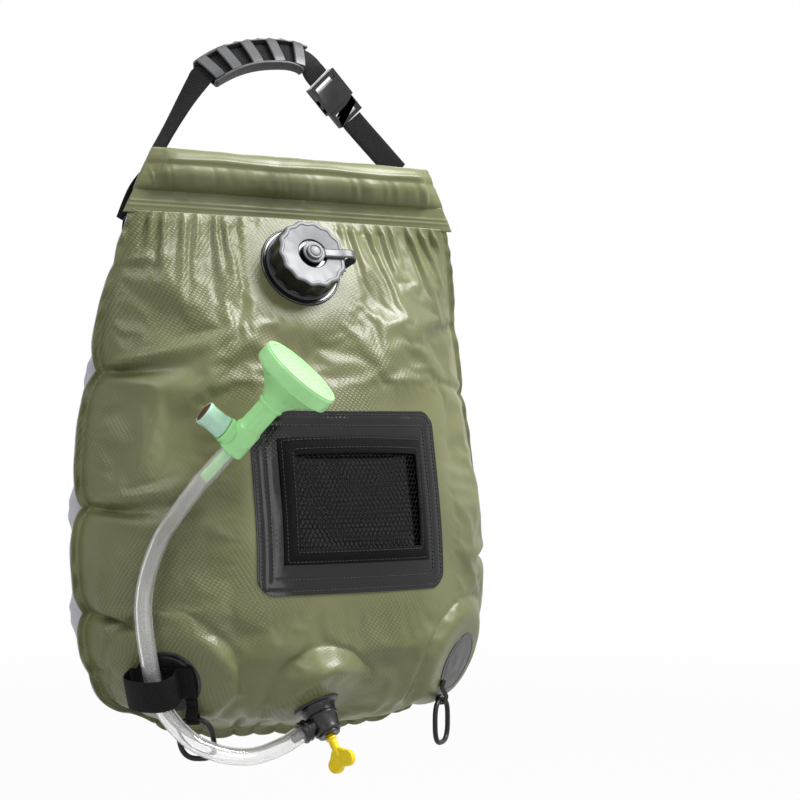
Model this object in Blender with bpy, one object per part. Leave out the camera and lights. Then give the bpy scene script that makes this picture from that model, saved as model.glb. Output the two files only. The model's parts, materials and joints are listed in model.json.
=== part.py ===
"""Camp shower bag, full and hanging from its strap, with its shower head laid across the front.

Metres, +Z up, front towards -Y. The origin is the hang point, under the middle of the grip.
The strap hangs in the plane y = 0, and the bag swings on it about an X axis behind the roll.
"""

import math

import bmesh
import bpy
import numpy as np
from mathutils import Matrix, Vector

X = Vector((1, 0, 0))
Y = Vector((0, 1, 0))
Z = Vector((0, 0, 1))
ROUND = 24
FINE_ROUND = 32
SMALL_ROUND = 16

# Clearances
GAP = 0.0003
CURVED_GAP = 0.0005
RUNNING_GAP = 0.0004
OVERRUN = 0.003
BITE = 0.0006
MERGE = 0.000001

# Colours, as linear values
OLIVE = (0.235, 0.242, 0.135)
PALE_GREY = (0.55, 0.56, 0.60)
BLACK = (0.012, 0.012, 0.013)
DARK_GREY = (0.045, 0.048, 0.055)
MINT = (0.30, 0.80, 0.27)
PALE_MINT = (0.50, 0.82, 0.63)
DARK_RED = (0.16, 0.006, 0.006)
YELLOW = (0.75, 0.56, 0.03)
MILKY = (0.70, 0.70, 0.72)

# Bag
BAG_TOP_Z = -0.1263
BAG_HEIGHT = 0.3937
BAG_HALF_WIDTH = 0.1705
FRONT_DEPTH = 0.095
BACK_DEPTH = 0.080
SEAM_TOP_Y = -0.017
SEAM_Y = 0.010
SWAY = 0.009
CORNER_RISE = 0.016
SEAM_FLANGE = 0.009
FILM = 0.0012
CROWN_POWER = 2.8
CROWN_ROOT_SHARE = 0.72
CORNER_POWER = 4
SLOPE_REACH = 0.0020
SLOPE_SHARE = 0.02
CORNER_STEP_SHARES = (0.55, 0.2, 0)
HEIGHT_SHARES = (0, 0.06, 0.11, 0.23, 0.45, 0.66, 0.77, 0.87, 0.95, 1)
FRONT_SHARES = (0, 0.16, 0.32, 0.61, 0.86, 0.99, 1, 0.91, 0.63, 0)
BACK_SHARES = (0, 0.15, 0.30, 0.48, 0.80, 1, 1, 0.85, 0.54, 0)
WIDTH_SHARES = (0.76, 0.80, 0.83, 0.885, 0.965, 1, 1, 0.97, 0.885, 0.66)
SEAM_SHARES = (0, 0.2, 0.4, 0.78, 1, 1, 1, 1, 1, 1)
FRONT_COLUMNS = 24
BACK_COLUMNS = 14
PANEL_ROWS = 24

# Roll at the top, with the rod inside it
ROLL_HEIGHT = 0.033
ROLL_DEPTH = 0.026
ROLL_Z = -0.0945
ROLL_Y = SEAM_TOP_Y
ROLL_HALF_LENGTH = 0.118
ROLL_END_SLOPE_SHARE = 0.48
ROLL_FLAT_SHARE = 0.16
ROLL_FLAT_DEPTH = 0.007
SLEEVE_WALL = 0.0016
BAND_THICKNESS = 0.0036
ROD_RADIUS = 0.0080
ROD_WALL = 0.0015
ROD_HALF_LENGTH = 0.100
ROLL_STATIONS = 12

# Strap and its ends
STRAP_WIDTH = 0.020
STRAP_THICKNESS = 0.0015
LOOP_REACH = 0.1075
LOOP_DROP = 0.0800
LOOP_RIGHT = 0.1035
STRAP_END_Y = 0.0030
SWING_GAP = 0.0040
LEFT_STRAP_SHARES = ((-1, -1, 1), (-0.893, -0.744, 0.67), (-0.781, -0.481, 0.33), (-0.688, -0.281, 0))
LEFT_STRAP_TURNS = (78, 76, 66, 50)
GRIP_SHARES = (
    (-0.642, -0.206, 0),
    (-0.465, -0.063, 0),
    (-0.270, 0.028, 0),
    (-0.047, 0.073, 0),
    (0.084, 0.065, 0),
    (0.158, 0.035, 0),
    (0.197, -0.010, 0),
)
GRIP_TURNS = (42, 39, 39, 37, 33, 26, 14)
BUCKLE_TURN = 2
STRAP_STEPS = 4
LEFT_TAIL_X = -0.1330
RIGHT_TAIL_X = 0.1340
TAIL_FOOT_Z = -0.1370
ANCHOR_WIDTH = 0.030
ANCHOR_HEIGHT = 0.032
ANCHOR_RADIUS = 0.006
ANCHOR_X = 0.125
ANCHOR_Z = -0.146
ANCHOR_THICKNESS = 0.0010
TAIL_STAND = 0.0034

# Grip
GRIP_WIDTH = 0.028
GRIP_GAP = 0.0017
GRIP_WALL = 0.0025
GRIP_FLOOR = 0.0025
GRIP_WALL_RISE = 0.0040
GROOVE_DEPTH = 0.0014
GRIP_STATIONS = 20
BRIDGE_LENGTH = 0.009
BRIDGE_THICKNESS = 0.0024
BRIDGE_SHARES = (0.07, 0.26, 0.48, 0.70, 0.92)
SCALLOP_SHARES = (0.3, 0.97)
GRIP_END_RISE_SHARE = 0.6

# Buckle
BUCKLE_X = 0.0440
BUCKLE_Z = -0.0255
BUCKLE_RUN = (0.70, 0, -0.714)
BUCKLE_WIDTH = 0.028
BUCKLE_THICKNESS = 0.008
FEMALE_TOP = -0.020
FEMALE_END = 0.006
CAVITY_TOP = -0.0105
CAVITY_HALF_WIDTH = 0.0115
CAVITY_HALF_THICKNESS = 0.0024
WINDOW_TOP = -0.0085
WINDOW_END = 0.0032
WINDOW_INSET = 0.005
BAR = 0.003
WEB_SLOT = 0.0038
MALE_TOP = FEMALE_END + GAP
MALE_END = 0.020
MALE_HALF_WIDTH = 0.0125
MALE_THICKNESS = 0.0065
TONGUE_HALF_WIDTH = 0.0022
TONGUE_HALF_THICKNESS = 0.0018
TONGUE_TOP = -0.0085
PRONG_INNER = 0.0060
PRONG_OUTER = 0.0090
PRONG_REACH = 0.0139
PRONG_TIP = -0.0080
PRONG_SHOULDER = -0.0005
PRONG_ROOT = FEMALE_END - GAP
PRONG_HALF_THICKNESS = 0.0018
PRONG_CHEEK_SHARE = 0.45

# Filler
FILL_X = -0.005
FILL_Z = -0.165
FILL_TILT = 23
FILL_FLAT = 0.042
FILL_FADE = 0.068
FILL_BORE = 0.0200
NECK_RADIUS = 0.0250
NECK_HEIGHT = 0.0200
FILL_FLANGE = 0.0330
FLANGE_THICKNESS = 0.0020
THREAD_RISE = 0.0011
THREAD_PITCH = 0.0040
COLLAR_RADIUS = 0.0295
COLLAR_THICKNESS = 0.0020
CAP_RADIUS = 0.0285
CAP_LOBE_DEPTH = 0.0013
CAP_LOBES = 9
CAP_BORE = 0.0266
CAP_BASE = 0.0052
CAP_TOP = 0.0236
CAP_DECK = 0.0022
CAP_BEVEL = 0.0012
CAP_FOOT_SHARE = 0.6
GASKET_THICKNESS = 0.0008
HUB_STEM = 0.0048
HUB_HEAD = 0.0064
HUB_HEAD_THICKNESS = 0.0018
TETHER_THICKNESS = 0.0016
TETHER_EYE = 0.0090
TETHER_WIDTH = 0.0070
TETHER_REACH = 0.0375
TETHER_FOOT = 0.0325
TETHER_FLAT_SHARE = 0.7
TETHER_BEND_SHARES = ((-0.35, 0), (0, 0.5), (0, 1))
LUG_LENGTH = 0.008

# Pocket
PATCH_X = 0.018
PATCH_Z = -0.342
PATCH_WIDTH = 0.160
PATCH_HEIGHT = 0.135
PATCH_RADIUS = 0.013
PATCH_THICKNESS = 0.0010
POCKET_X = 0.020
POCKET_Z = -0.3415
POCKET_WIDTH = 0.124
POCKET_HEIGHT = 0.092
POCKET_HEM = 0.011
POCKET_TOP_HEM = 0.013
HEM_THICKNESS = 0.0012
POCKET_POUCH = 0.011
POUCH_POWER_SHARE = 0.8
HEM_CELLS = (10, 7)
NET_COLUMNS = 12
NET_ROWS = 9
NET_STRAND_SHARE = 0.26
NET_THICKNESS = 0.0008
NET_TUCK = 0.002

# Round patches at the lower corners, and what they carry
CORNER_X_SHARE = 0.68035
CORNER_X = BAG_HALF_WIDTH * CORNER_X_SHARE
CORNER_Z = -0.4705
CORNER_PATCH_RADIUS = 0.0250
CORNER_PATCH_THICKNESS = 0.0012
CORNER_FLAT = 0.034
CORNER_FADE = 0.052
HOSE_STRAP_RUN = (0.76, -0.65, 0.04)
HOSE_STRAP_WIDTH = 0.025
HOSE_STRAP_RIGHT = 0.021
HOSE_STRAP_FOLD = -0.027
HOSE_STRAP_THICKNESS = 0.0013
HOSE_PLACE = -0.0070
FLAP_STAND = 0.0052
HOSE_SLANT = 0.0076
FLAP_RISE_SHARES = (0.33, 0.72, 0.62)
TAB_WIDTH = 0.009
TAB_X = 0.016
TAB_TOP = -0.0145
TAB_THICKNESS = 0.0010
RING_ROD = 0.0020
RING_HALF_WIDTH = 0.0130
RING_HALF_HEIGHT = 0.0165
RING_DROP = 0.0290
RING_STAND = 0.0060
RING_SQUARE_SHARE = 0.72
TAB_MIDDLE_SHARE = 0.62
TAB_WRAP_SHARES = (
    (1.2, 0.8),
    (0, 1),
    (-0.72, 0.72),
    (-1, 0),
    (-0.72, -0.72),
    (0, -1),
    (0.9, -0.95),
)
RING_STEPS = 24

# Outlet, its tap and the hose
OUTLET_X = -0.003
OUTLET_Z = -0.494
OUTLET_AXIS = (0.16, -0.56, -0.81)
OUTLET_FLAT = 0.027
OUTLET_FADE = 0.048
OUTLET_FLANGE = 0.0175
OUTLET_FLANGE_THICKNESS = 0.0018
CONE_BASE = 0.0135
CONE_TIP = 0.0092
CONE_END = 0.0240
PLUG_BORE = 0.0056
PLUG_START = 0.0040
PLUG_SHOULDER = 0.0018
PLUG_GROOVE = 0.0012
KEY_BLADE_AXIS = (0.42, -0.71, 0.57)
KEY_SHAFT = 0.0030
KEY_SOCKET = 0.0060
KEY_LENGTH = 0.0280
KEY_LOBE = 0.0062
KEY_LOBE_SPREAD = 0.0055
KEY_NECK = 0.0040
KEY_THICKNESS = 0.0050
KEY_ARC_START = -70
KEY_ARC_STEP = 26
KEY_ARC_STEPS = 9
NIPPLE_DIRECTION = (-0.90, -0.05, -0.43)
NIPPLE_START = 0.0125
NIPPLE_LENGTH = 0.0150
HOSE_RADIUS = 0.0065
HOSE_BORE = 0.0043
BARB_RADIUS = 0.0040
BARB_BORE = 0.0024
TAP_BARB_LENGTH = 0.0140
HOSE_COLLAR_RADIUS = 0.0086
HOSE_COLLAR_LENGTH = 0.0065
HOSE_COLLAR_LAP_SHARE = 0.15

# Shower head
HEAD_X = -0.0828
HEAD_Y = -0.0925
HEAD_Z = -0.2960
HEAD_AXIS = (0.4896, -0.4918, 0.7204)
KNOB_AXIS = (-0.7850, 0.1114, 0.6095)
TEE_RADIUS = 0.0100
TEE_BACK = 0.0105
NECK_START = 0.0120
HANDLE_RADIUS = 0.0090
CONE_START = 0.0355
CONE_LENGTH = 0.0215
BEAD_RISE = 0.0008
TRUMPET_SHARES = ((0.34, 0.48), (0.70, 0.76))
TRUMPET_ROOT_SHARE = 0.18
TRUMPET_BORE_SHARES = (0.60, 0.80)
TRUMPET_THROAT_SHARE = 0.42
RIM_RADIUS = 0.0312
RIM_START = 0.0565
RIM_LENGTH = 0.0125
RIM_WALL = 0.0022
RIM_LIP = 0.0012
FACE_THICKNESS = 0.0020
FACE_CROWN = 0.0024
FACE_CROWN_SHARE = 0.6
HEAD_WALL = 0.0020
HEAD_BORE = 0.0050
BOSS_RADIUS = 0.0096
BOSS_LENGTH = 0.0134
SPOOL_BORE = 0.0066
SPOOL_DEPTH = -0.0065
SPOOL_END = 0.0035
KNOB_RADIUS = 0.0090
KNOB_END = 0.0330
KNOB_TRAVEL = 0.0040
KNOB_LIP = 0.0006
DISC_RADIUS = 0.0074
DISC_RECESS = 0.0012
DISC_THICKNESS = 0.0010
BARB_LENGTH = 0.0270
BARB_RINGS = 3
BARB_CREST_SHARE = 0.75
BARB_RING_RISE = 0.0002
SEAL_ROD = 0.0008

# The hose's free route, chosen by hand, from the tap's barb round to the barb of the shower head
ROUTE_HALF_WIDTH = 0.1705
HOSE_ROUTE = (
    (-0.0520, -0.0680, -0.5258),
    (-0.0680, -0.0662, -0.5266),
    (-0.0855, -0.0622, -0.5230),
    (-0.1020, -0.0568, -0.5145),
    (-0.1150, -0.0517, -0.5012),
    (-0.1240, -0.0491, -0.4865),
    (-0.1302, -0.0495, -0.4700),
    (-0.1355, -0.0532, -0.4515),
    (-0.1390, -0.0542, -0.4320),
    (-0.1395, -0.0530, -0.4130),
    (-0.1368, -0.0540, -0.3940),
    (-0.1318, -0.0566, -0.3760),
    (-0.1245, -0.0606, -0.3590),
)


def smooth(t, xs, ys):
    """The table's value at t, on a cubic that never overshoots the table."""
    xs = np.asarray(xs, float)
    ys = np.asarray(ys, float)
    step = np.diff(xs)
    slope = np.diff(ys) / step
    lean = np.zeros_like(ys)
    for i in range(1, len(ys) - 1):
        if slope[i - 1] * slope[i] > 0:
            after = 2 * step[i] + step[i - 1]
            before = step[i] + 2 * step[i - 1]
            lean[i] = (after + before) / (after / slope[i - 1] + before / slope[i])
    lean[0] = slope[0]
    lean[-1] = slope[-1]
    i = int(np.clip(np.searchsorted(xs, t) - 1, 0, len(step) - 1))
    r = (t - xs[i]) / step[i]
    start = (1 + 2 * r) * (1 - r) ** 2 * ys[i] + r * (1 - r) ** 2 * step[i] * lean[i]
    end = r * r * (3 - 2 * r) * ys[i + 1] + r * r * (r - 1) * step[i] * lean[i + 1]
    return float(start + end)


def through(points, steps):
    """Points on a smooth curve through the given ones, any number of values each."""
    points = np.asarray(points, float)
    ends = np.vstack([2 * points[0] - points[1], points, 2 * points[-1] - points[-2]])
    found = []
    for a, b, c, d in zip(ends, ends[1:], ends[2:], ends[3:]):
        bend = 2 * a - 5 * b + 4 * c - d
        swing = 3 * b - a - 3 * c + d
        for k in range(steps):
            t = k / steps
            found.append(0.5 * (2 * b + (c - a) * t + bend * t**2 + swing * t**3))
    return np.array(found + [points[-1]])


def frame(place, z_axis, x_hint):
    """The matrix of a frame at a place, with its Z along z_axis and its X near x_hint."""
    z = Vector(z_axis).normalized()
    x = Vector(x_hint)
    x = (x - z * x.dot(z)).normalized()
    turn = Matrix((x, z.cross(x), z)).transposed()
    return Matrix.Translation(Vector(place)) @ turn.to_4x4()


def clear_scene():
    for obj in list(bpy.data.objects):
        bpy.data.objects.remove(obj, do_unlink=True)


def finish_of(name, colour, roughness, metallic=0.0):
    material = bpy.data.materials.new(name)
    material.use_nodes = True
    shader = material.node_tree.nodes["Principled BSDF"]
    shader.inputs["Base Color"].default_value = (*colour, 1)
    shader.inputs["Roughness"].default_value = roughness
    shader.inputs["Metallic"].default_value = metallic
    return material


def piece(name, mesh, place, colour=BLACK, roughness=0.5, in_world=False, closed=True):
    """An object at a place. A mesh in world coordinates is moved back into the object's frame."""
    if in_world:
        bmesh.ops.transform(mesh, matrix=place.inverted(), verts=mesh.verts)
    if closed:
        bmesh.ops.recalc_face_normals(mesh, faces=mesh.faces)
    data = bpy.data.meshes.new(name)
    mesh.to_mesh(data)
    mesh.free()
    data.shade_smooth()
    data.set_sharp_from_angle(angle=math.radians(35))
    obj = bpy.data.objects.new(name, data)
    obj.matrix_world = place
    data.materials.append(finish_of(name + "_finish", colour, roughness))
    bpy.context.scene.collection.objects.link(obj)
    return obj


def tool(name, mesh, place, in_world=False):
    """A shape that is only cut away from another or joined to it."""
    obj = piece(name, mesh, place, in_world=in_world)
    obj.hide_render = True
    obj.display_type = "WIRE"
    return obj


def combine(obj, other, operation):
    modifier = obj.modifiers.new(other.name, "BOOLEAN")
    modifier.operation = operation
    modifier.solver = "EXACT"
    modifier.object = other


def turned(profile, steps=ROUND, bored=False):
    """A mesh turned about Z from (radius, height) points; a bored one closes on itself."""
    mesh = bmesh.new()
    points = [mesh.verts.new((radius, 0, height)) for radius, height in profile]
    pairs = list(zip(points, points[1:]))
    if bored:
        pairs.append((points[-1], points[0]))
    edges = [mesh.edges.new(pair) for pair in pairs]
    geom = points + edges
    whole = 2 * math.pi
    bmesh.ops.spin(mesh, geom=geom, cent=(0, 0, 0), axis=Z, angle=whole, steps=steps, use_merge=True)
    bmesh.ops.remove_doubles(mesh, verts=mesh.verts, dist=MERGE)
    return mesh


def bar_of(radius, low, high, steps):
    """A round bar along Z."""
    return turned([(0, low), (radius, low), (radius, high), (0, high)], steps)


def tube_of(bore, radius, low, high, steps):
    """A tube along Z."""
    return turned([(bore, low), (radius, low), (radius, high), (bore, high)], steps, True)


def box(low, high):
    mesh = bmesh.new()
    bmesh.ops.create_cube(mesh, size=1)
    low = Vector(low)
    high = Vector(high)
    bmesh.ops.scale(mesh, vec=high - low, verts=mesh.verts)
    bmesh.ops.translate(mesh, vec=(low + high) / 2, verts=mesh.verts)
    return mesh


def plate(outline, low, high):
    """A flat outline in the local X and Y, from the height low to the height high."""
    mesh = bmesh.new()
    face = mesh.faces.new([mesh.verts.new((x, y, low)) for x, y in outline])
    raised = bmesh.ops.extrude_face_region(mesh, geom=[face])
    moved = [item for item in raised["geom"] if isinstance(item, bmesh.types.BMVert)]
    bmesh.ops.translate(mesh, vec=(0, 0, high - low), verts=moved)
    return mesh


def stood_up(mesh):
    """The mesh of a plate with its outline in the local X and Z."""
    turn = Matrix.Rotation(math.pi / 2, 3, "X")
    bmesh.ops.rotate(mesh, cent=(0, 0, 0), matrix=turn, verts=mesh.verts)
    return mesh


def swept(sections):
    """A mesh through a row of closed sections with as many points each, capped at both ends."""
    mesh = bmesh.new()
    rings = [[mesh.verts.new(point) for point in section] for section in sections]
    count = len(rings[0])
    for first, second in zip(rings, rings[1:]):
        for i in range(count):
            j = (i + 1) % count
            mesh.faces.new((first[i], first[j], second[j], second[i]))
    mesh.faces.new(rings[0])
    mesh.faces.new(rings[-1])
    return mesh


def ribbon(points, across, width, thickness):
    """A flat band along points, with a direction across it at each point."""
    sections = []
    for i, point in enumerate(points):
        run = (points[min(i + 1, len(points) - 1)] - points[max(i - 1, 0)]).normalized()
        side = (across[i] - run * across[i].dot(run)).normalized() * width / 2
        rise = run.cross(side).normalized() * thickness / 2
        low = point - rise
        high = point + rise
        sections.append([low - side, low + side, high + side, high - side])
    return swept(sections)


def twisted(table, steps):
    """A strap's points and the direction across it at each, from (x, y, z, twist) rows."""
    rows = through(table, steps)
    points = [Vector(row[:3]) for row in rows]
    across = []
    for i, row in enumerate(rows):
        run = (points[min(i + 1, len(points) - 1)] - points[max(i - 1, 0)]).normalized()
        upright = Vector((-run.z, 0, run.x))
        twist = math.radians(row[3])
        across.append(upright * math.cos(twist) + Y * math.sin(twist))
    return points, across


# The bag's two panels


def outline_at(u, v):
    """A point's x and z on the panel: u runs from seam to seam, -1 to 1, and v downwards, 0 to 1."""
    x = u * BAG_HALF_WIDTH * smooth(v, HEIGHT_SHARES, WIDTH_SHARES) + SWAY * v
    z = BAG_TOP_Z - v * (BAG_HEIGHT - CORNER_RISE * abs(u) ** CORNER_POWER)
    return x, z


def seam_y(v):
    return SEAM_TOP_Y + (SEAM_Y - SEAM_TOP_Y) * smooth(v, HEIGHT_SHARES, SEAM_SHARES)


def panel_y(u, v, side):
    crown = max(0.0, 1 - abs(u) ** CROWN_POWER) ** CROWN_ROOT_SHARE
    if side == "front":
        return seam_y(v) - FRONT_DEPTH * smooth(v, HEIGHT_SHARES, FRONT_SHARES) * crown
    return seam_y(v) + BACK_DEPTH * smooth(v, HEIGHT_SHARES, BACK_SHARES) * crown


def share_at(x, z):
    """The u and v of a point of the panel."""
    u = 0.0
    v = 0.5
    for _ in range(24):
        v = min(1.0, max(0.0, (BAG_TOP_Z - z) / (BAG_HEIGHT - CORNER_RISE * abs(u) ** CORNER_POWER)))
        u = (x - SWAY * v) / (BAG_HALF_WIDTH * smooth(v, HEIGHT_SHARES, WIDTH_SHARES))
        u = max(-1.0, min(1.0, u))
    return u, v


def plain_point(x, z, side):
    u, v = share_at(x, z)
    return Vector((x, panel_y(u, v, side), z))


def normal_of(surface, x, z, side, reach=SLOPE_REACH):
    """The outward normal of a panel's surface."""
    along = surface(x + reach, z, side) - surface(x - reach, z, side)
    up = surface(x, z + reach, side) - surface(x, z - reach, side)
    normal = along.cross(up).normalized()
    return normal if side == "front" else -normal


def pad(x, z, flat, fade, normal=None):
    """A flat place that a fitting makes in the front panel."""
    centre = plain_point(x, z, "front")
    normal = normal or normal_of(plain_point, x, z, "front")
    return centre, Vector(normal).normalized(), flat, fade


FILL_AXIS = (0, -math.cos(math.radians(FILL_TILT)), math.sin(math.radians(FILL_TILT)))
FILL_PAD = pad(FILL_X, FILL_Z, FILL_FLAT, FILL_FADE, FILL_AXIS)
OUTLET_PAD = pad(OUTLET_X, OUTLET_Z, OUTLET_FLAT, OUTLET_FADE, OUTLET_AXIS)
LEFT_PAD = pad(-CORNER_X, CORNER_Z, CORNER_FLAT, CORNER_FADE)
RIGHT_PAD = pad(CORNER_X + SWAY, CORNER_Z, CORNER_FLAT, CORNER_FADE)
PADS = (FILL_PAD, OUTLET_PAD, LEFT_PAD, RIGHT_PAD)


def flattened(point, side):
    """The point moved into the plane of a fitting that it is close to."""
    if side != "front":
        return point
    for centre, normal, flat, fade in PADS:
        away = point - centre
        reach = (away - normal * away.dot(normal)).length
        t = min(1.0, max(0.0, (fade - reach) / (fade - flat)))
        share = t * t * (3 - 2 * t)
        level = centre.y - ((point.x - centre.x) * normal.x + (point.z - centre.z) * normal.z) / normal.y
        point = Vector((point.x, point.y + (level - point.y) * share, point.z))
    return point


def panel_point(x, z, side):
    return flattened(plain_point(x, z, side), side)


def over_panel(x, z, side, lift):
    """The point at a height over the panel's outer face."""
    return panel_point(x, z, side) + normal_of(panel_point, x, z, side) * (FILM + lift)


def panel_mesh(side):
    """The inner face of a panel with its seam flange, as an open grid with its normals outwards."""
    out = -1 if side == "front" else 1
    count = FRONT_COLUMNS if side == "front" else BACK_COLUMNS
    even = [2 * i / count - 1 for i in range(count + 1)]
    columns = [0.5 * t + 0.5 * math.sin(math.pi / 2 * t) for t in even]
    evenly = [j / PANEL_ROWS for j in range(PANEL_ROWS + 1)]
    rows = [0.5 * t + 0.25 * (1 - math.cos(math.pi * t)) for t in evenly]
    part = Vector((0, out * CURVED_GAP / 2, 0))

    def at(u, v):
        x, z = outline_at(u, v)
        return flattened(Vector((x, panel_y(u, v, side), z)), side) + part

    def beyond(u, v, direction):
        x, z = outline_at(u, v)
        return Vector((x, seam_y(v), z)) + Vector(direction).normalized() * SEAM_FLANGE + part

    def side_normal(v, hand):
        if v == 0:
            return (hand, 0, 0)
        x0, z0 = outline_at(hand, max(0, v - SLOPE_SHARE))
        x1, z1 = outline_at(hand, min(1, v + SLOPE_SHARE))
        return (hand * (z0 - z1), 0, hand * (x1 - x0))

    grid = []
    for v in rows:
        line = [beyond(-1, v, side_normal(v, -1))] + [at(u, v) for u in columns]
        grid.append(line + [beyond(1, v, side_normal(v, 1))])
    low = [beyond(u, 1, (0, 0, -1)) for u in columns]
    corner = BAG_HALF_WIDTH
    grid.append([beyond(-1, 1, (-corner, 0, -corner))] + low + [beyond(1, 1, (corner, 0, -corner))])
    mesh = bmesh.new()
    verts = [[mesh.verts.new(point) for point in line] for line in grid]
    for j in range(len(verts) - 1):
        for i in range(len(verts[0]) - 1):
            corners = [verts[j][i], verts[j + 1][i], verts[j + 1][i + 1], verts[j][i + 1]]
            mesh.faces.new(corners if side == "front" else corners[::-1])
    return mesh


def thicken(obj, thickness):
    modifier = obj.modifiers.new("Wall", "SOLIDIFY")
    modifier.thickness = thickness
    modifier.offset = 1
    return modifier


def make_panels():
    place = Matrix.Translation((0, SEAM_Y, BAG_TOP_Z))
    front = piece("front_panel", panel_mesh("front"), place, OLIVE, 0.42, True, False)
    thicken(front, FILM)
    back = piece("back_panel", panel_mesh("back"), place, PALE_GREY, 0.45, True, False)
    thicken(back, FILM)
    holes = (("filler_hole", FILL_PAD, FILL_BORE), ("outlet_hole", OUTLET_PAD, PLUG_BORE))
    for name, where, radius in holes:
        depth = radius + OVERRUN
        cutter = turned([(0, -depth), (radius, -depth), (radius, depth), (0, depth)])
        combine(front, tool(name, cutter, frame(where[0], where[1], X)), "DIFFERENCE")


def lines(half, radius, cells):
    """Grid lines from -half to half, close together where a corner of this radius is rounded."""
    inner = half - radius
    middle = [inner * (2 * i / cells - 1) for i in range(cells + 1)]
    edge = [half - radius * share for share in CORNER_STEP_SHARES]
    return [-value for value in edge[::-1]] + middle + edge


def rounded(x, z, half_width, half_height, radius):
    """A point of a rectangle moved in where the corner is round."""
    dx = abs(x) - (half_width - radius)
    dz = abs(z) - (half_height - radius)
    if radius > 0 and dx > 0 and dz > 0:
        share = max(dx, dz) / math.hypot(dx, dz)
        x = math.copysign(half_width - radius + dx * share, x)
        z = math.copysign(half_height - radius + dz * share, z)
    return x, z


def fitted(centre_x, centre_z, xs, zs, radius, side, lift, missing=None):
    """A sheet over the panel on these grid lines, at the height that lift gives for each point."""
    mesh = bmesh.new()
    verts = []
    for z in zs:
        row = []
        for x in xs:
            px, pz = rounded(x, z, xs[-1], zs[-1], radius)
            row.append(mesh.verts.new(over_panel(centre_x + px, centre_z + pz, side, lift(px, pz))))
        verts.append(row)
    for j in range(len(zs) - 1):
        for i in range(len(xs) - 1):
            if missing and missing(i, j):
                continue
            corners = [verts[j][i], verts[j][i + 1], verts[j + 1][i + 1], verts[j + 1][i]]
            mesh.faces.new(corners if side == "front" else corners[::-1])
    return mesh


def make_pocket():
    place = Matrix.Translation(over_panel(PATCH_X, PATCH_Z, "front", 0))
    xs = lines(PATCH_WIDTH / 2, PATCH_RADIUS, 6)
    zs = lines(PATCH_HEIGHT / 2, PATCH_RADIUS, 5)
    patch_lift = CURVED_GAP + GAP
    patch = fitted(PATCH_X, PATCH_Z, xs, zs, PATCH_RADIUS, "front", lambda x, z: patch_lift)
    thicken(piece("pocket_patch", patch, place, BLACK, 0.18, True, False), PATCH_THICKNESS)

    half_width = POCKET_WIDTH / 2
    half_height = POCKET_HEIGHT / 2
    base = patch_lift + PATCH_THICKNESS + CURVED_GAP

    def pouch(x, z):
        sideways = max(0.0, 1 - (x / half_width) ** 2)
        upwards = min(1.0, max(0.0, (z + half_height) / POCKET_HEIGHT))
        return POCKET_POUCH * sideways * math.sin(math.pi / 2 * upwards) ** POUCH_POWER_SHARE

    def over_net(x, z):
        """The hem's rise from its sewn outer edge to where it lies over the net."""
        inwards = min(half_width - abs(x), z + half_height)
        return (NET_THICKNESS + CURVED_GAP + GAP) * min(1.0, max(0.0, 2 * inwards / POCKET_HEM))

    window_x = half_width - POCKET_HEM
    window_low = -half_height + POCKET_HEM
    window_high = half_height - POCKET_TOP_HEM
    columns, rows = HEM_CELLS
    tall = window_high - window_low
    net_x = [window_x * (2 * i / columns - 1) for i in range(columns + 1)]
    net_z = [window_low + tall * j / rows for j in range(rows + 1)]
    stitch = POCKET_HEM / 2
    top_stitch = POCKET_TOP_HEM / 2
    xs = [-half_width, -half_width + stitch] + net_x + [half_width - stitch, half_width]
    zs = [-half_height, -half_height + stitch] + net_z + [half_height - top_stitch, half_height]
    hem = fitted(
        POCKET_X, POCKET_Z, xs, zs, 0, "front",
        lambda x, z: base + over_net(x, z) + pouch(x, z),
        lambda i, j: 2 <= i < len(xs) - 3 and 2 <= j < len(zs) - 3,
    )
    thicken(piece("pocket_hem", hem, place, BLACK, 0.55, True, False), HEM_THICKNESS)

    def strands(low, high, count):
        pitch = (high - low) / count
        strand = pitch * NET_STRAND_SHARE / 2
        found = []
        for i in range(count + 1):
            found += [low + i * pitch - strand, low + i * pitch + strand]
        found[0] = low - NET_TUCK
        found[-1] = high + NET_TUCK
        return found

    xs = strands(-window_x, window_x, NET_COLUMNS)
    zs = strands(window_low, window_high, NET_ROWS)
    net = fitted(
        POCKET_X, POCKET_Z, xs, zs, 0, "front",
        lambda x, z: base + pouch(x, z),
        lambda i, j: i % 2 == 1 and j % 2 == 1,
    )
    thicken(piece("pocket_mesh", net, place, BLACK, 0.6, True, False), NET_THICKNESS)


# The roll, the rod and the strap


def roll_half(z):
    """Half the roll's length at a height: its ends are cut on the slant of the bag's shoulders."""
    return ROLL_HALF_LENGTH + ROLL_END_SLOPE_SHARE * (ROLL_Z + ROLL_HEIGHT / 2 - z)


def roll_depth(share):
    """The roll's depth along it: flat where the sleeve is welded at each end."""
    t = min(1.0, max(0.0, (1 - abs(share)) / ROLL_FLAT_SHARE))
    return ROLL_FLAT_DEPTH + (ROLL_DEPTH - ROLL_FLAT_DEPTH) * math.sin(math.pi / 2 * t)


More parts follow.
